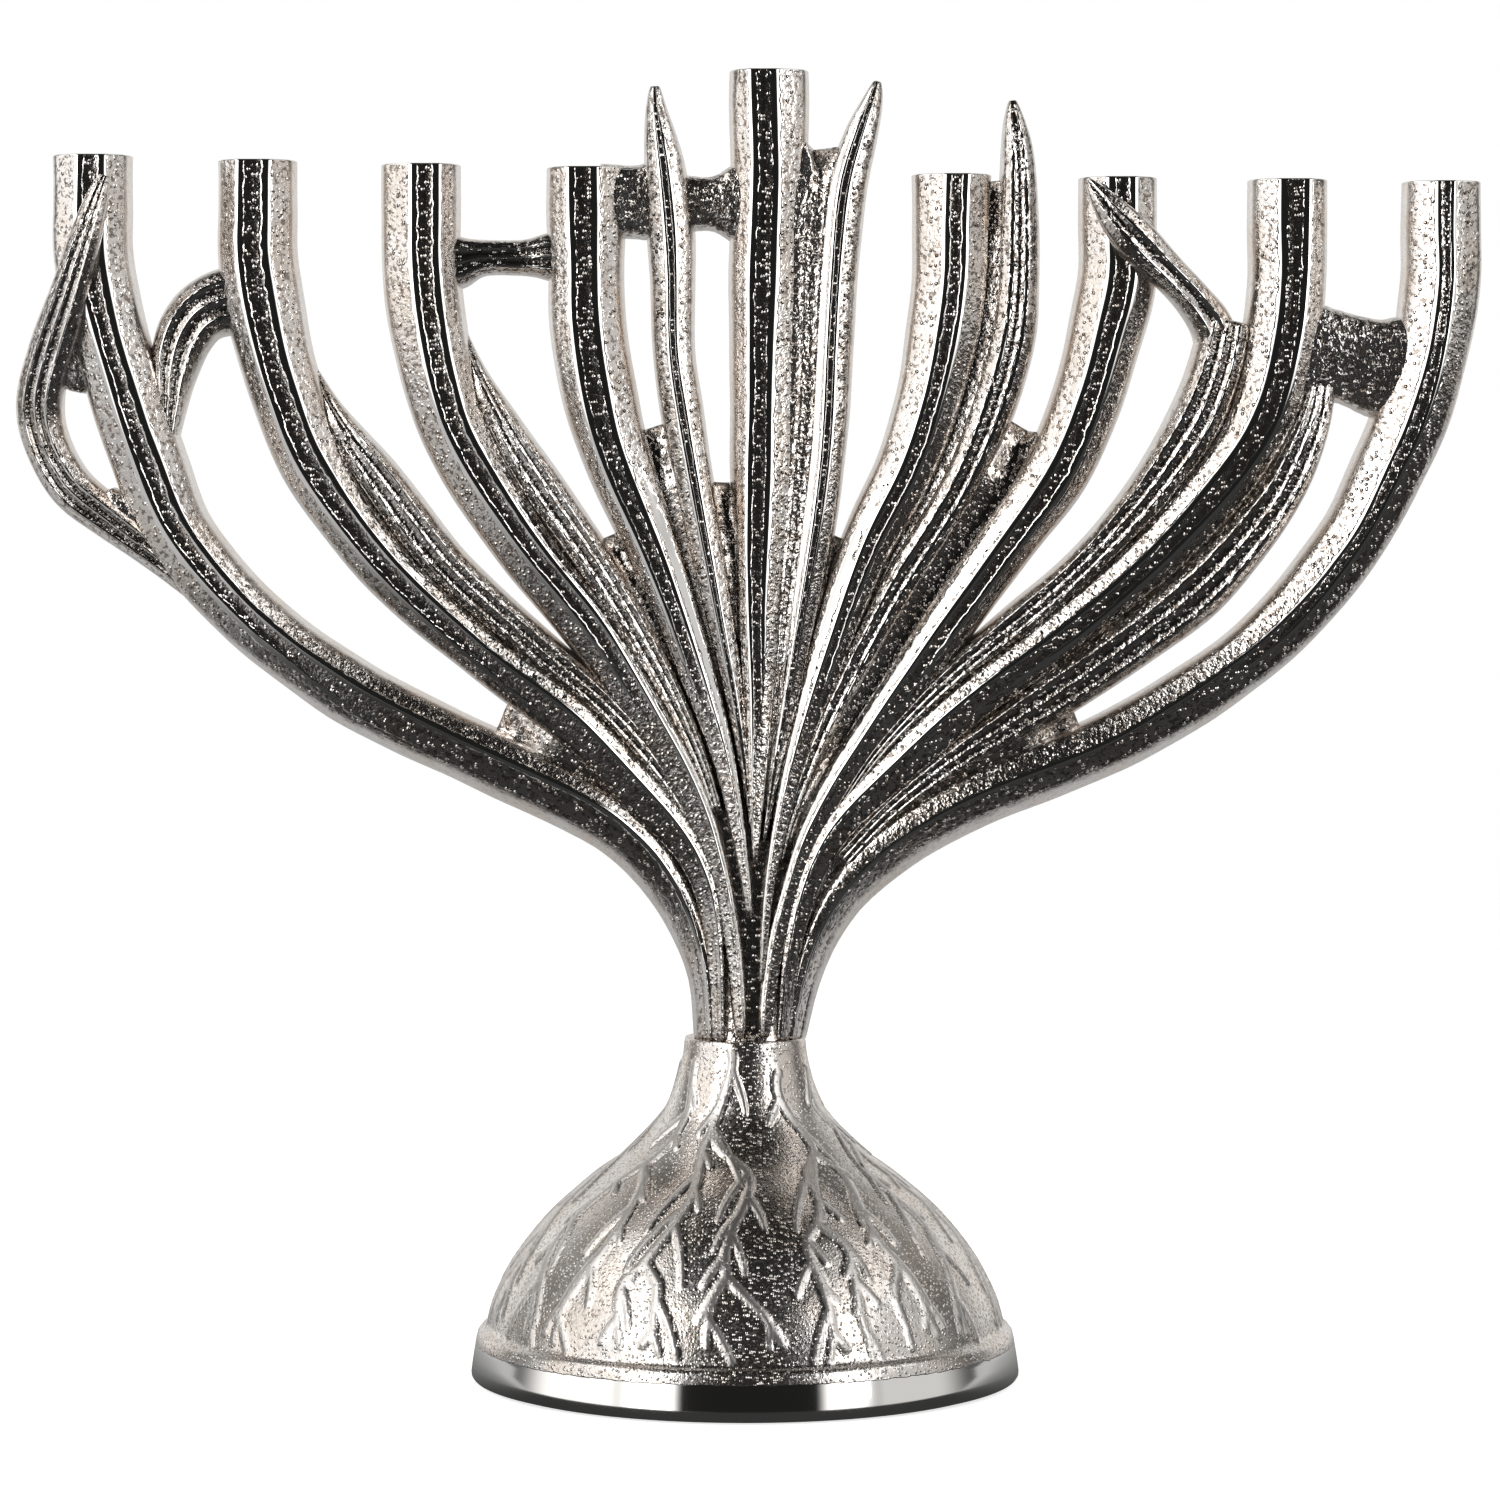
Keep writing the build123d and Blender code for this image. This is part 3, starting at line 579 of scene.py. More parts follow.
# painted shade: the near-black colour that the shade mark blends into the nickel
PAINTED_SHADE_COLOUR = (0.045, 0.038, 0.032)
ZINC_TINT = (0.8, 0.82, 0.86)
FELT_COLOURS = ((0.02, 0.02, 0.022), (0.075, 0.073, 0.07))
# share of the grain's size, roughness, height of the grain in the light, and whether roots stand proud of it
NICKELS = {"Tree Nickel": (1.0, 0.13, 0.17, False), "Plate Nickel": (1.35, 0.2, 0.45, False),
           "Base Nickel": (0.7, 0.19, 0.07, True)}


def tinted(colour, tint):
    return tuple(c * t for c, t in zip(colour, tint))


def feed(tree, socket, value):
    """Links a socket to another node's output, or sets it to a constant."""
    if isinstance(value, bpy.types.NodeSocket):
        tree.links.new(value, socket)
    else:
        socket.default_value = value


def add_node(tree, kind, sockets=None, **settings):
    """A node with its settings made, and then its sockets fed."""
    node = tree.nodes.new(kind)
    for key, value in settings.items():
        setattr(node, key, value)
    for key, value in (sockets or {}).items():
        feed(tree, node.inputs[key], value)
    return node


def new_group(name, inputs, outputs):
    """A group of nodes with number sockets: inputs by name and default, and outputs by name."""
    group = bpy.data.node_groups.new(name, "ShaderNodeTree")
    for label, default in inputs.items():
        socket = group.interface.new_socket(name=label, in_out="INPUT", socket_type="NodeSocketFloat")
        socket.default_value = default
    for label in outputs:
        group.interface.new_socket(name=label, in_out="OUTPUT", socket_type="NodeSocketFloat")
    return group, group.nodes.new("NodeGroupInput"), group.nodes.new("NodeGroupOutput")


def maths(tree, operation, *values, clamp=False):
    sockets = dict(enumerate(values))
    return add_node(tree, "ShaderNodeMath", sockets, operation=operation, use_clamp=clamp).outputs[0]


def ramp_between(tree, value, low, high, out_low=0.0, out_high=1.0):
    sockets = {"Value": value, "From Min": low, "From Max": high, "To Min": out_low, "To Max": out_high}
    node = add_node(tree, "ShaderNodeMapRange", sockets, clamp=True, interpolation_type="SMOOTHSTEP")
    return node.outputs["Result"]


def blend(tree, factor, first, second, kind="FLOAT"):
    sockets = {"Factor": factor, "A": first, "B": second}
    return add_node(tree, "ShaderNodeMix", sockets, data_type=kind).outputs["Result"]


def blend_colour(tree, factor, *colours):
    return blend(tree, factor, *((*c, 1) if isinstance(c, tuple) else c for c in colours), "RGBA")


def object_place(tree):
    return add_node(tree, "ShaderNodeTexCoord").outputs["Object"]


def noise(tree, scale, detail, roughness=0.5):
    """Noise that is fixed to the piece."""
    sockets = {"Vector": object_place(tree), "Scale": scale, "Detail": detail, "Roughness": roughness}
    return add_node(tree, "ShaderNodeTexNoise", sockets).outputs["Fac"]


def cast_grain_group():
    """Height, pits and blotches of a sand-cast skin. Grain Size is in metres."""
    group, start, end = new_group("Cast Grain", {"Grain Size": 0.75 * MM, "Calm": 0.0, "Coarse": 0.0},
                                  ("Height", "Pits", "Blotch"))
    coarse = start.outputs["Coarse"]
    scale = maths(group, "DIVIDE", 1.0, start.outputs["Grain Size"])
    lumps = noise(group, scale, 2.0, 0.6)
    sockets = {"Vector": object_place(group), "Scale": scale}
    beads = add_node(group, "ShaderNodeTexVoronoi", sockets, feature="F1")
    pick = add_node(group, "ShaderNodeSeparateColor", {"Color": beads.outputs["Color"]})
    often = maths(group, "ADD", pick.outputs["Red"], maths(group, "MULTIPLY", coarse, 0.35))
    proud = maths(group, "MULTIPLY", ramp_between(group, beads.outputs["Distance"], 0.08, 0.5, 1.0, 0.0),
                  ramp_between(group, often, 0.5, 0.75))
    tall = maths(group, "ADD", maths(group, "MULTIPLY", coarse, 1.1), 1.0)
    bumpy = maths(group, "ADD", maths(group, "MULTIPLY", lumps, 0.85), maths(group, "MULTIPLY", proud, tall))
    pits = ramp_between(group, lumps, 0.37, 0.49, 1.0, 0.0)
    rough_share = maths(group, "SUBTRACT", 1.0, start.outputs["Calm"], clamp=True)
    for label, value in (("Height", bumpy), ("Pits", pits)):
        feed(group, end.inputs[label], maths(group, "MULTIPLY", value, rough_share))
    feed(group, end.inputs["Blotch"], noise(group, 90, 3))
    return group


def marks_group():
    """Masks of the polished ridges, side walls and shaded hollows. The ridges' edges wander a little."""
    group, start, end = new_group("Casting Marks", {"Reach": 0.42}, [label.title() for label in MARKS])
    shine, wall, shade = (add_node(group, "ShaderNodeAttribute", attribute_name=label).outputs["Fac"]
                          for label in MARKS)
    stray = maths(group, "MULTIPLY", maths(group, "SUBTRACT", noise(group, 420, 2), 0.5), 0.7)
    over = maths(group, "SUBTRACT", maths(group, "ADD", shine, stray), start.outputs["Reach"])
    deep = maths(group, "ADD", shade, maths(group, "MULTIPLY", stray, 1.2))
    for label, value, low, high in (("Polish", over, -0.07, 0.10), ("Wall", wall, 0.35, 0.85),
                                    ("Shade", deep, 0.1, 0.8)):
        feed(group, end.inputs[label], ramp_between(group, value, low, high))
    return group


def shared_group(tree, name, make):
    """A node that holds the group by that name, which is made the first time that it is asked for."""
    return add_node(tree, "ShaderNodeGroup", node_tree=bpy.data.node_groups.get(name) or make())


def new_material(name, sockets):
    """A material with its Principled shader's constants set, as (material, tree, shader)."""
    material = bpy.data.materials.new(name)
    material.use_nodes = True
    tree = material.node_tree
    shader = tree.nodes["Principled BSDF"]
    for label, value in sockets.items():
        feed(tree, shader.inputs[label], value)
    return material, tree, shader


def add_relief(tree, shader, height, distance):
    relief = add_node(tree, "ShaderNodeBump", {"Strength": 1.0, "Distance": distance * MM, "Height": height})
    feed(tree, shader.inputs["Normal"], relief.outputs["Normal"])


def nickel(name, colour, grain_size, rough, bump, raised):
    """Nickel plate over a casting: bright ridges, pebbled facets and smoother side walls.

    Where raised is true the shade mark means raised satin metal, and otherwise painted shade that darkens
    the colour in the hollows, grooves and shaded facets.
    """
    material, tree, shader = new_material(name, {"Metallic": 1.0})
    masks = shared_group(tree, "Casting Marks", marks_group)
    sand = shared_group(tree, "Cast Grain", cast_grain_group)
    polish, wall, shade = (masks.outputs[label.title()] for label in MARKS)
    calm = maths(tree, "MAXIMUM", polish, maths(tree, "MULTIPLY", wall, 0.8))
    if raised:
        calm = maths(tree, "MAXIMUM", calm, maths(tree, "MULTIPLY", shade, 0.45))
    feed(tree, sand.inputs["Grain Size"], grain_size * MM)
    feed(tree, sand.inputs["Coarse"], 0.5 if raised else shade)
    feed(tree, sand.inputs["Calm"], calm)
    blotch = ramp_between(tree, sand.outputs["Blotch"], 0.35, 0.7)
    skin = blend_colour(tree, blotch, colour, tinted(colour, BLOTCH_TINT))
    # darker pits: partly oxide, partly painted shade and painted reflection
    pitting = maths(tree, "MULTIPLY", sand.outputs["Pits"], 0.45 if raised else 1.0)
    pitted = blend_colour(tree, pitting, skin, tinted(colour, PIT_OXIDE_AND_SHADE_TINT))
    if raised:
        worked = blend_colour(tree, shade, pitted, tinted(colour, ROOT_TINT))
    else:
        # painted shade: the shade mark darkens the colour towards near black
        worked = blend_colour(tree, maths(tree, "MULTIPLY", shade, 0.6), pitted, PAINTED_SHADE_COLOUR)
    feed(tree, shader.inputs["Base Color"], blend_colour(tree, polish, worked, POLISHED_COLOUR))
    walled = blend(tree, wall, blend(tree, sand.outputs["Pits"], rough, rough + 0.12), rough + 0.14)
    if raised:
        walled = blend(tree, shade, walled, rough + 0.17)
    feed(tree, shader.inputs["Roughness"], blend(tree, polish, walled, POLISHED_ROUGH))
    add_relief(tree, shader, sand.outputs["Height"], bump)
    return material


def flecked(name, sockets, scale, detail, colours, bump, rough=None):
    """A plain finish whose colour, relief and, where a range is given, roughness follow one fine noise."""
    material, tree, shader = new_material(name, sockets)
    fleck = noise(tree, scale, detail)
    feed(tree, shader.inputs["Base Color"], blend_colour(tree, fleck, *colours))
    if rough:
        feed(tree, shader.inputs["Roughness"], ramp_between(tree, fleck, 0.3, 0.7, *rough))
    add_relief(tree, shader, fleck, bump)
    return material


def finish_of(name):
    """A finish by name, made the first time that it is asked for."""
    found = bpy.data.materials.get(name)
    if found:
        return found
    look = bpy.context.scene.menorah_finish
    if name == "Black Felt":
        return flecked(name, {"Roughness": 0.95, "Sheen Weight": 0.4}, 1600, 6, FELT_COLOURS, 0.25)
    if name == "Zinc Plate":
        zinc = tuple(look.zinc)
        return flecked(name, {"Metallic": 1.0}, 900, 4, (zinc, tinted(zinc, ZINC_TINT)), 0.02, (0.26, 0.41))
    share, rough, bump, raised = NICKELS[name]
    return nickel(name, tuple(look.nickel), look.grain_size * share, rough, bump, raised)


# =====================================================================================================
# Base
# =====================================================================================================
# outlines as (radius, z)
BELL = [(12.0, 68.6), (12.2, 67.6), (12.7, 64), (14.8, 56.4), (17.4, 52.2), (23.5, 46), (31.2, 40),
        (38.1, 34), (43.4, 28), (47.5, 22), (50.4, 16), (51.8, 11.0)]
BELL_WALL = 3.0
RIM = [(52.5, 10.3), (53.2, 10.1), (53.8, 9.3), (54.1, 8.0), (54.28, 6.8), (54.58, 5.0), (54.86, 3.2),
       (55.08, 1.5), (55.04, 1.0), (54.8, 0.65), (54.2, 0.5), (52.6, 0.5), (49.0, 0.7)]
RIM_POLISH_FROM = 4      # below the rim's upper, pebbled rings
CEILING = [(12.2, 49.0), (10.4, 57.4), (9.6, 58.0), (4.6, 58.0), (4.6, 67.0)]
COLLAR = [(4.6, 67.0), (10.9, 67.0), (11.1, 67.2), (11.1, 68.3), (11.4, 68.6), (11.8, 68.6)]
BASE_AROUND = 540
BELL_ROWS = 150
ROOTS_AT_COLLAR = 9
ROOT_HEIGHT = 0.36
ROOT_WIDTH = 1.35        # half the width of a root at the collar
ROOT_STEP = 0.4


def bell_curve(count):
    """Radii, heights and runs of even points down the outside of the bell, from the collar to the rim."""
    line, run = smooth_route([(r, 0.0, z) for r, z in BELL], 0.5)
    steps = np.linspace(0, run[-1], count)
    return np.interp(steps, run, line[:, 0]), np.interp(steps, run, line[:, 2]), steps


def grow_roots(chance, length_down):
    """Forking roots on the unrolled bell, which never cross: lists of (angle, run down, half width).

    Each root keeps to its own sector of the bell, forks when the sector has grown wide enough for two, and
    puts out side rootlets, left and right in turn, that stay within the sector.
    """
    radius_at, _, steps = bell_curve(200)
    roots, waiting = [], []
    turns = sorted(2 * math.pi * (i + chance.uniform(-0.2, 0.2)) / ROOTS_AT_COLLAR
                   for i in range(ROOTS_AT_COLLAR))
    for low, high in zip(turns, turns[1:] + [turns[0] + 2 * math.pi]):
        waiting.append(((low + high) / 2, chance.uniform(1, 6), low, high, ROOT_WIDTH))
    while waiting:
        angle, down, low, high, wide = waiting.pop()
        path = []
        sway, swing = chance.uniform(0, 2 * math.pi), chance.uniform(4.5, 8.0)
        fork_width, fork_from = chance.uniform(13, 18), down + chance.uniform(6, 11)
        side, next_rootlet = chance.choice((-1, 1)), down + chance.uniform(3, 6)
        end = length_down - chance.uniform(0.3, 4.0)
        while down < end:
            radius = np.interp(down, steps, radius_at)
            room = (high - low) * radius
            goal = (low + high) / 2 + 0.2 * (high - low) * math.sin(down / swing + sway)
            angle += np.clip((goal - angle) * radius * 0.16, -0.36, 0.36) / radius
            down += ROOT_STEP
            path.append((angle, down, wide * (0.5 + 0.5 * min(1, (end - down) / 12))))
            if down > next_rootlet and room > 7 and end - down > 3:
                roots.append(rootlet(chance, angle, down, side, (low, high), wide * 0.9, (steps, radius_at)))
                side, next_rootlet = -side, down + chance.uniform(3.5, 6.5)
            if down > fork_from and room > fork_width and end - down > 9:
                middle = low + (high - low) * chance.uniform(0.4, 0.6)
                waiting += [(angle, down, low, middle, wide), (angle, down, middle, high, wide)]
                break
        roots.append(path)
    return [root for root in roots if root]


def rootlet(chance, angle, down, side, sector, wide, bell):
    """A short root that leaves its parent at a slant, turns down and stops before the edge of the sector."""
    path, length, slant = [], chance.uniform(10, 19), chance.uniform(0.6, 0.95)
    for i in range(int(length / ROOT_STEP)):
        share = i * ROOT_STEP / length
        radius = np.interp(down, *bell)
        angle += side * slant * (1 - 0.85 * share) * ROOT_STEP * 0.75 / radius
        down += ROOT_STEP * 0.85
        edge = min(angle - sector[0], sector[1] - angle) * radius
        if edge < 1.7 or down > bell[0][-1] - 0.4:
            break
        path.append((angle, down, wide * (1 - 0.5 * share)))
    return path


def spun(angle, radius, z):
    return radius * math.cos(angle), radius * math.sin(angle), z


def build_base():
    radii, heights, run = bell_curve(BELL_ROWS)
    theta = np.linspace(0, 2 * math.pi, BASE_AROUND, endpoint=False)
    slope_r, slope_z = np.gradient(radii, run), np.gradient(heights, run)
    samples = [spot for path in grow_roots(random.Random(SEED), run[-1]) for spot in path]
    roots = kdtree.KDTree(len(samples))
    for i, (angle, down, _) in enumerate(samples):
        roots.insert(spun(angle, np.interp(down, run, radii), np.interp(down, run, heights)), i)
    roots.balance()
    raised = np.zeros((BELL_ROWS, BASE_AROUND))
    outer = np.zeros((BELL_ROWS, BASE_AROUND, 3))
    for i, (radius, z) in enumerate(zip(radii, heights)):
        for k, angle in enumerate(theta):
            _, index, gap = roots.find(spun(angle, radius, z))
            share = float(smooth_step(0.0, 0.65, 1 - gap / samples[index][2])) * min(1.0, run[i] / 3)
            raised[i, k] = share
            outer[i, k] = spun(angle, radius - slope_z[i] * ROOT_HEIGHT * share,
                               z + slope_r[i] * ROOT_HEIGHT * share)
    inside = [(r - BELL_WALL, z - 1.2) for r, z in BELL[:3:-1]] + CEILING
    above, below = ([[spun(angle, r, z) for angle in theta] for r, z in line]
                    for line in (COLLAR, RIM + inside))
    rows = np.concatenate([above, outer, below])
    marks = np.zeros((*rows.shape[:2], len(MARKS)))
    first_rim = len(COLLAR) + BELL_ROWS
    marks[len(COLLAR):first_rim, :, 2] = raised
    marks[first_rim + RIM_POLISH_FROM:first_rim + len(RIM) - 1, :, 0] = 1.0
    marks[first_rim + len(RIM):, :, 1] = 1.0
    piece = roll_grid("cast_bell_base", rows, marks)
    shade_smooth(piece)
    finish_piece(piece, "base_nickel", "Base Nickel", "base")


# =====================================================================================================
# Tree
# =====================================================================================================
def cup_of(name):
    """(centre x, top, bore radius, bore depth) of a candle cup, from the frame's mounts."""
    for mount in frame["record"]["mounts"]:
        if mount["name"] == f"candle_{name}":
            sizes, top = mount["dims"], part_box("cup_" + name)[1].z / MM
            return mount["pos_m"][0] / MM, top, sizes["r_mm"], sizes["length_mm"]
    raise ValueError(f"no candle mount named {name}")


def dress_cast(piece, *nodes, levels=2, coarse=1.0, finish="Tree Nickel"):
    """Smooths and pebbles a skin, and finishes it."""
    surface = piece.modifiers.new("smooth", "SUBSURF")
    surface.levels = surface.render_levels = levels
    apply_modifiers(piece)
    pebble(piece, bpy.context.scene.menorah_sizes.grain_height * coarse)
    apply_modifiers(piece)
    shade_smooth(piece)
    finish_piece(piece, "cast_nickel", finish, *nodes)


def dress_plate(piece, *nodes):
    dress_cast(piece, *nodes, coarse=PLATE_GRAIN, finish="Plate Nickel")


def build_arms():
    reach = bpy.context.scene.menorah_sizes.outer_wall

    def far_side(share):
        return OUTER_CORNER - reach * float(smooth_step(0.3, 0.7, share))

    for i, (name, route) in enumerate(ARM_ROUTES.items()):
        cup = cup_of(name)
        points = [(cup[0], z, FULL_WIDTH) for z in (cup[1], (cup[1] + route[0][1]) / 2)] + route
        left = (lambda share: -far_side(share)) if name == "left_4" else CORNERS[0]
        right = far_side if name == "right_4" else CORNERS[1]
        # the right facets get painted shade from the cup down
        section_of = fluted(ARM_RIDGES[name], SEED + i, (left, right), facets=ARM_FACETS[name],
                            main=1 if "left" in name else 0, flattest=0.2, dull=CUP_FACET_SHADE.get(name, 0.0))
        piece = limb("branch_" + name, points, section_of, cup=cup, seed=SEED + i)
        node = "centre_stem" if name == "centre" else "arm_" + name
        dress_cast(piece, node, "cup_" + name)


def beside(route, arm):
    """Widens a ribbon from its free edge until it runs into the arm that it lies against."""
    line, _ = smooth_route([(x, 0.0, z, wide) for x, z, wide in ARM_ROUTES[arm]], 1.0)
    widened = []
    for x, z, wide in route:
        gaps = np.hypot(line[:, 0] - x, line[:, 2] - z)
        near = int(np.argmin(gaps))
        half = max((wide + gaps[near] - line[near, 3] + ARM_OVERLAP) / 2, wide * 0.7)
        shift = (half - wide) / gaps[near]
        widened.append((x + (line[near, 0] - x) * shift, z + (line[near, 2] - z) * shift, half))
    return widened


def build_ribbons():
    for i, (name, (route, ridges, share, shine, arm)) in enumerate(RIBBONS.items()):
        # ribbons with less shine get painted shade in their grooves
        dip, groove_shade = (0.985, 0.0) if shine > 0.8 else (0.86, 0.75)
        section_of = fluted(ridges, SEED + 20 + i, facets=SPIKE_FACETS.get(name, RIBBON_FACETS), shine=shine,
                            dip=dip, groove_shade=groove_shade, flattest=0.5)
        piece = limb("cast_" + name, beside(route, arm) if arm else route, section_of, depth_share=share,
                     seed=SEED + 20 + i)
        dress_cast(piece, name)


def build_twigs():
    for i, (name, (route, ridges)) in enumerate(TWIGS.items()):
        # the twigs' grooves get full painted shade
        section_of = fluted(ridges, SEED + 40 + i, shine=0.7, dip=0.84, groove_shade=1.0)
        dress_cast(limb("cast_" + name, route, section_of, seed=SEED + 40 + i, spacing=2.0), name)
    for i, (name, route) in enumerate(WEBS.items()):
        piece = limb("cast_" + name, route, PLATE, seed=SEED + 50 + i, spacing=1.6)
        dress_plate(piece, *([name] if name in frame["nodes"] else []))


def crossing(route, z):
    """x where a route crosses a height, or at its top above that, or None below its foot."""
    if z > route[0][1]:
        return route[0][0]
    for (xa, za, *_), (xb, zb, *_) in zip(route, route[1:]):
        if zb <= z <= za:
            return xa + (xb - xa) * (za - z) / (za - zb)
    return None


def route_of(name):
    return ARM_ROUTES[name] if name in ARM_ROUTES else RIBBONS[name][0]


def width_at(route, z):
    return float(np.interp(-z, [-point[1] for point in route], [point[2] for point in route]))


def valley_route(left, right, top):
    """Midway between two limbs, wide enough to run into both, and the notch in the gap at its top."""
    points = []
    for z in np.arange(top, VALLEY_FOOT, -VALLEY_STEP):
        left_x, right_x = crossing(route_of(left), z), crossing(route_of(right), z)
        if left_x is None or right_x is None:
            continue
        points.append((left_x, right_x, z))
    route = []
    for i, (left_x, right_x, z) in enumerate(points):
        before, after = points[max(i - 1, 0)], points[min(i + 1, len(points) - 1)]
        run_x = (after[0] + after[1] - before[0] - before[1]) / 2
        upright = abs(after[2] - before[2]) / math.hypot(run_x, after[2] - before[2])
        route.append(((left_x + right_x) / 2, z, max(0.4, (right_x - left_x) / 2 * upright)))
    near, far = (width_at(route_of(name), top) / route[0][2] for name in (left, right))
    edges = [-1 + near, 1 - far]
    return route, (np.clip(sum(edges) / 2, -0.6, 0.6), max(0.35, (edges[1] - edges[0]) / 2 + 0.15))


def build_valleys():
    for i, (left, right, top) in enumerate(VALLEYS):
        route, notch = valley_route(left, right, top)
        piece = limb(f"valley_{left}_{right}", route, HOLLOW, seed=SEED + 60 + i, spacing=2.2, notch=notch)
        dress_cast(piece)
    ridged = fluted((-0.45, 0.05, 0.5), SEED + 59, (-0.9, 0.9), shine=0.3, dip=0.93)
    route, notch = valley_route("centre", "spike_right", 247.6)
    piece = limb("cast_web_centre_right", route, ridged, depth_share=0.8, seed=SEED + 59, spacing=2.2,
                 notch=notch, rise=0.85)
    dress_plate(piece, "web_centre_right")


def build_trunk():
    """The solid heart of the tree that shows between the limbs, down to the neck."""
    theta = np.linspace(0, 2 * math.pi, HEART_AROUND, endpoint=False)
    rows = []
    for z in np.arange(*HEART_HEIGHTS, HEART_STEP):
        middle, half, deep = (np.interp(z, *table)
                              for table in (TREE_MIDDLE, HEART_HALF_WIDTH, HEART_HALF_DEPTH))
        rows.append([(middle + half * math.cos(a), -deep * math.sin(a), z) for a in theta])
    rows = np.array(rows)
    rows = np.concatenate([[shrunk(rows[0], 0.4)], rows, [shrunk(rows[-1], 0.0)]])
    marks = np.zeros((*rows.shape[:2], len(MARKS)))
    marks[:, :, 2] = HEART_SHADE
    dress_cast(roll_grid("trunk_heart", rows, marks), "trunk", levels=1)


def build_fixings():
    for node in ("stud", "flat_washer", "spring_washer", "hex_nut"):
        put_on(frame["nodes"][node], "Zinc Plate")
    put_on(frame["nodes"]["felt_ring"], "Black Felt")


# =====================================================================================================
# Stage
# =====================================================================================================
EYE = (0.001, -1.012, 0.1778)
AIM = (0.001, 0.0, 0.1262)
LENS = 121.4
FLOOR_RADIUS = 1.6
FLOOR_FADE = (0.35, 1.3)         # where the floor starts and ends its fade into the white
# how bright the floor looks in the metal: in front, from the middle to far out on the left, and behind
FLOOR_IN_METAL = (0.035, 0.5)
FLOOR_BEHIND = 0.5
# bright windows in the dark studio that the metal mirrors: side, nearer edge, farther edge, strength
WINDOWS = ((-1, 0.48, 0.78, 1.8), (-1, 0.80, 1.1, 1.15), (1, 0.54, 0.80, 1.35), (1, 0.82, 1.1, 0.62))
WINDOW_EDGE = 0.05
STUDIO_COLOUR = (1.0, 0.985, 0.965, 1)
WHITE = (1, 1, 1, 1)
# soft lights: place, aim, size, power
LIGHTS = {
    "left_softbox": ((-0.75, -0.85, 0.62), (0, 0, 0.14), (0.34, 0.9), 2.0),
    "right_softbox": ((0.80, -0.80, 0.55), (0, 0, 0.14), (0.34, 0.9), 1.8),
    "overhead": ((0.0, -0.1, 1.3), (0, 0, 0.1), (0.9, 0.9), 2.4),
}


def set_up(name, data, place, aim):
    """Puts a camera or a light in the scene, turned to its aim."""
    thing = bpy.data.objects.new(name, data)
    bpy.context.scene.collection.objects.link(thing)
    thing.location = place
    thing.rotation_mode = "QUATERNION"
    thing.rotation_quaternion = (Vector(aim) - Vector(place)).to_track_quat("-Z", "Y")
    return thing


def build_camera():
    data = bpy.data.cameras.new("Camera")
    data.lens = LENS
    data.sensor_width = 36.0
    bpy.context.scene.camera = set_up("Camera", data, EYE, AIM)


def build_lights():
    for name, (place, aim, size, power) in LIGHTS.items():
        data = bpy.data.lights.new(name, "AREA")
        data.shape = "RECTANGLE"
        data.size, data.size_y = size
        data.energy = power
        lamp = set_up(name, data, place, aim)
        lamp.visible_glossy = name != "overhead"


def mix_shaders(tree, factor, first, second):
    return add_node(tree, "ShaderNodeMixShader", {0: factor, 1: first, 2: second}).outputs["Shader"]


def window(tree, value, low, high, strength):
    """Bright between two directions, with soft edges."""
    rise = ramp_between(tree, value, low - WINDOW_EDGE, low + WINDOW_EDGE)
    fall = ramp_between(tree, value, high - WINDOW_EDGE, high + WINDOW_EDGE, strength, 0.0)
    return maths(tree, "MULTIPLY", rise, fall)


def build_world():
    """White to the camera, and to the metal a dark studio with bright sides."""
    world = bpy.data.worlds.new("Studio")
    bpy.context.scene.world = world
    world.use_nodes = True
    tree = world.node_tree
    tree.nodes.clear()
    toward = add_node(tree, "ShaderNodeTexCoord").outputs["Generated"]
    x, y, z = add_node(tree, "ShaderNodeSeparateXYZ", {"Vector": toward}).outputs
    sides = 0.0
    for side, *shape in WINDOWS:
        sides = maths(tree, "ADD", sides, window(tree, maths(tree, "MULTIPLY", x, side), *shape))
    for axis, *ends in ((y, -0.05, 0.35, 1.0, 0.12), (z, -0.3, 0.0, 0.12, 1.0)):
        sides = maths(tree, "MULTIPLY", sides, ramp_between(tree, axis, *ends))
    total = maths(tree, "ADD", sides, ramp_between(tree, y, 0.4, 0.85, 0.012, 0.78))
    studio, white = (add_node(tree, "ShaderNodeBackground", {"Color": colour, "Strength": strength})
                     for colour, strength in ((STUDIO_COLOUR, total), (WHITE, 1.0)))
    seen = add_node(tree, "ShaderNodeLightPath").outputs["Is Camera Ray"]
    shown = mix_shaders(tree, seen, studio.outputs["Background"], white.outputs["Background"])
    add_node(tree, "ShaderNodeOutputWorld", {"Surface": shown})


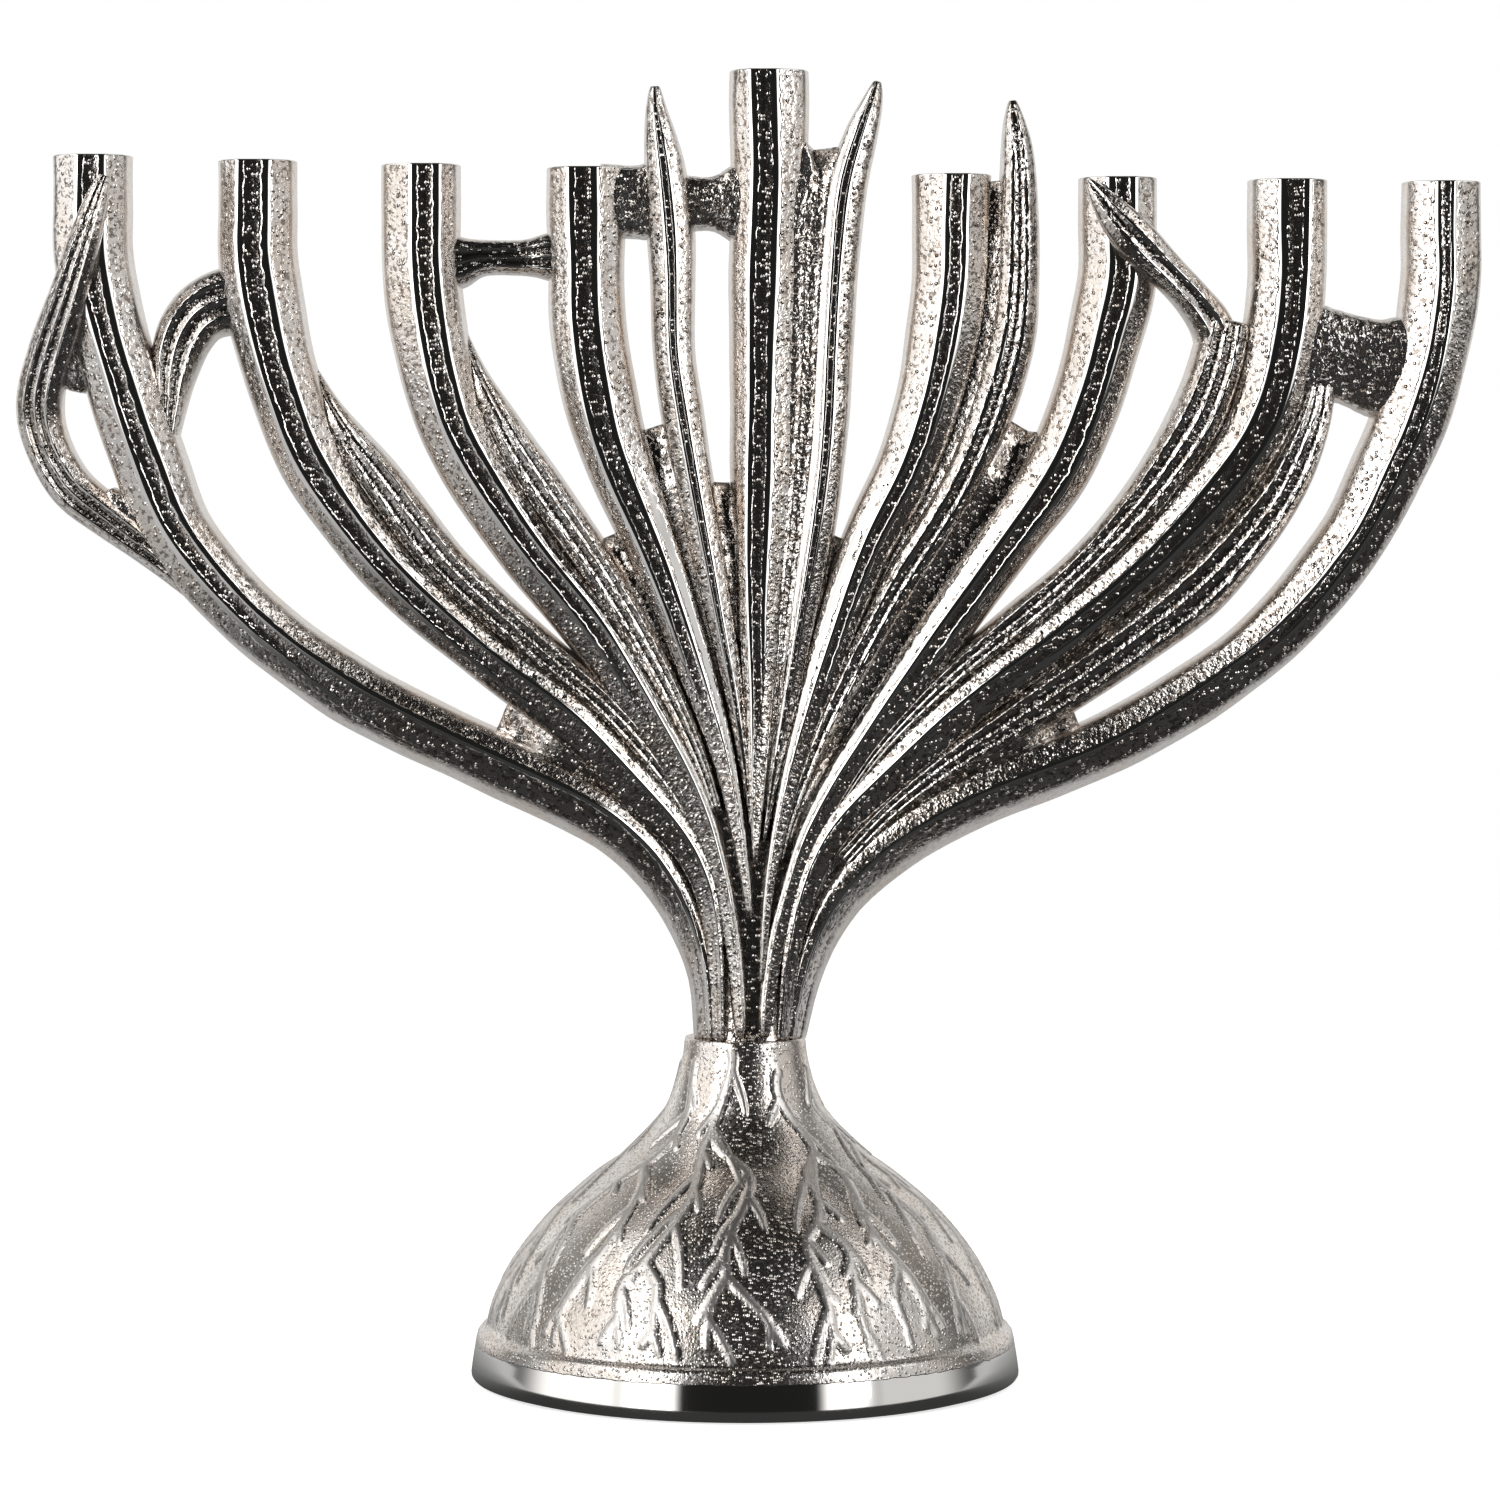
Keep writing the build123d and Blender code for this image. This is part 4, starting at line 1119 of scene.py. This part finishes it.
def floor_material():
    """Pale paper that fades out far from the menorah, and looks darker in the metal."""
    material, tree, shader = new_material("Pale Paper", {
        "Base Color": (0.90, 0.90, 0.895, 1), "Roughness": 0.7, "Emission Color": WHITE,
        "Emission Strength": 0.72})
    place = object_place(tree)
    far = add_node(tree, "ShaderNodeVectorMath", {0: place}, operation="LENGTH").outputs["Value"]
    underside = add_node(tree, "ShaderNodeNewGeometry").outputs["Backfacing"]
    above = maths(tree, "SUBTRACT", 1.0, underside)
    fade = ramp_between(tree, far, *FLOOR_FADE, 1.0, 0.0)
    feed(tree, shader.inputs["Alpha"], maths(tree, "MULTIPLY", fade, above))
    x, y, _ = add_node(tree, "ShaderNodeSeparateXYZ", {"Vector": place}).outputs
    aside = ramp_between(tree, maths(tree, "MULTIPLY", x, -1.0), 0.16, 0.42, *FLOOR_IN_METAL)
    lit = blend(tree, ramp_between(tree, y, -0.04, 0.1), aside, FLOOR_BEHIND)
    mirrored = add_node(tree, "ShaderNodeEmission", {"Strength": lit}).outputs["Emission"]
    seen = add_node(tree, "ShaderNodeLightPath").outputs["Is Glossy Ray"]
    shown = mix_shaders(tree, seen, shader.outputs["BSDF"], mirrored)
    feed(tree, tree.nodes["Material Output"].inputs["Surface"], shown)
    return material


def build_stage():
    deselect()
    bpy.ops.mesh.primitive_circle_add(vertices=96, radius=FLOOR_RADIUS, fill_type="NGON", location=(0, 0, 0))
    floor = bpy.context.object
    floor.name = "pale_floor"
    floor.data.materials.append(floor_material())
    build_camera()
    build_world()
    build_lights()
    settings = bpy.context.scene.view_settings
    settings.view_transform = "Standard"
    settings.look = "None"
    settings.exposure = 0.0


# =====================================================================================================
# Add-on
# =====================================================================================================
class MenorahSizes(bpy.types.PropertyGroup):
    """Sizes that a user would change."""
    grain_height: bpy.props.FloatProperty(
        name="Grain Height", description="Height of the coarse cast grain, in millimetres", default=0.06,
        min=0.0)
    outer_wall: bpy.props.FloatProperty(
        name="Outer Wall", description="How far the outer branches' smooth side walls reach in, as a share",
        default=0.34, min=0.0, max=0.6, subtype="FACTOR")


class MenorahFinish(bpy.types.PropertyGroup):
    """Colours and grain that a user would change."""
    nickel: bpy.props.FloatVectorProperty(
        name="Nickel", description="Colour of the nickel plate", default=(0.86, 0.83, 0.805), min=0.0,
        max=1.0, subtype="COLOR")
    zinc: bpy.props.FloatVectorProperty(
        name="Zinc", description="Colour of the zinc-plated fixings", default=(0.62, 0.63, 0.66), min=0.0,
        max=1.0, subtype="COLOR")
    grain_size: bpy.props.FloatProperty(
        name="Grain Size", description="Width of one grain of the cast skin, in millimetres", default=0.95,
        min=0.2)


class MENORAH_OT_stage(bpy.types.Operator):
    """Adds the floor, lights, world and camera."""
    bl_idname = "menorah.stage"
    bl_label = "Build Stage"

    def execute(self, context):
        build_stage()
        return {"FINISHED"}


class MENORAH_OT_base(bpy.types.Operator):
    """Adds the bell-shaped base with its raised roots."""
    bl_idname = "menorah.base"
    bl_label = "Build Base"

    def execute(self, context):
        build_base()
        return {"FINISHED"}


class MENORAH_OT_trunk(bpy.types.Operator):
    """Adds the heart of the tree."""
    bl_idname = "menorah.trunk"
    bl_label = "Build Trunk"

    def execute(self, context):
        build_trunk()
        return {"FINISHED"}


class MENORAH_OT_arms(bpy.types.Operator):
    """Adds the nine branches with their candle cups."""
    bl_idname = "menorah.arms"
    bl_label = "Build Arms"

    def execute(self, context):
        build_arms()
        return {"FINISHED"}


class MENORAH_OT_ribbons(bpy.types.Operator):
    """Adds the spikes and ribbons beside the branches."""
    bl_idname = "menorah.ribbons"
    bl_label = "Build Ribbons"

    def execute(self, context):
        build_ribbons()
        return {"FINISHED"}


class MENORAH_OT_valleys(bpy.types.Operator):
    """Fills the valleys between the branches."""
    bl_idname = "menorah.valleys"
    bl_label = "Build Valleys"

    def execute(self, context):
        build_valleys()
        return {"FINISHED"}


class MENORAH_OT_twigs(bpy.types.Operator):
    """Adds the free twigs, the rung and the webs."""
    bl_idname = "menorah.twigs"
    bl_label = "Build Twigs"

    def execute(self, context):
        build_twigs()
        return {"FINISHED"}


class MENORAH_OT_fixings(bpy.types.Operator):
    """Gives the stud, nut, washers and felt their materials."""
    bl_idname = "menorah.fixings"
    bl_label = "Finish Fixings"

    def execute(self, context):
        build_fixings()
        return {"FINISHED"}


OPERATORS = [MENORAH_OT_stage, MENORAH_OT_base, MENORAH_OT_trunk, MENORAH_OT_arms, MENORAH_OT_ribbons,
             MENORAH_OT_valleys, MENORAH_OT_twigs, MENORAH_OT_fixings]


class MENORAH_PT_panel(bpy.types.Panel):
    """Lists the menorah's pieces in the sidebar."""
    bl_label = "Menorah"
    bl_space_type = "VIEW_3D"
    bl_region_type = "UI"
    bl_category = "Menorah"

    def draw(self, context):
        for each in OPERATORS:
            self.layout.operator(each.bl_idname)


CLASSES = [MenorahSizes, MenorahFinish, *OPERATORS, MENORAH_PT_panel]


def register():
    for each in CLASSES:
        bpy.utils.register_class(each)
    bpy.types.Scene.menorah_sizes = bpy.props.PointerProperty(type=MenorahSizes)
    bpy.types.Scene.menorah_finish = bpy.props.PointerProperty(type=MenorahFinish)


def unregister():
    del bpy.types.Scene.menorah_finish
    del bpy.types.Scene.menorah_sizes
    for each in reversed(CLASSES):
        bpy.utils.unregister_class(each)


def main():
    register()
    for each in OPERATORS:
        getattr(bpy.ops.menorah, each.bl_idname.split(".")[1])()
    deselect()
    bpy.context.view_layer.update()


if __name__ == "__main__":
    main()
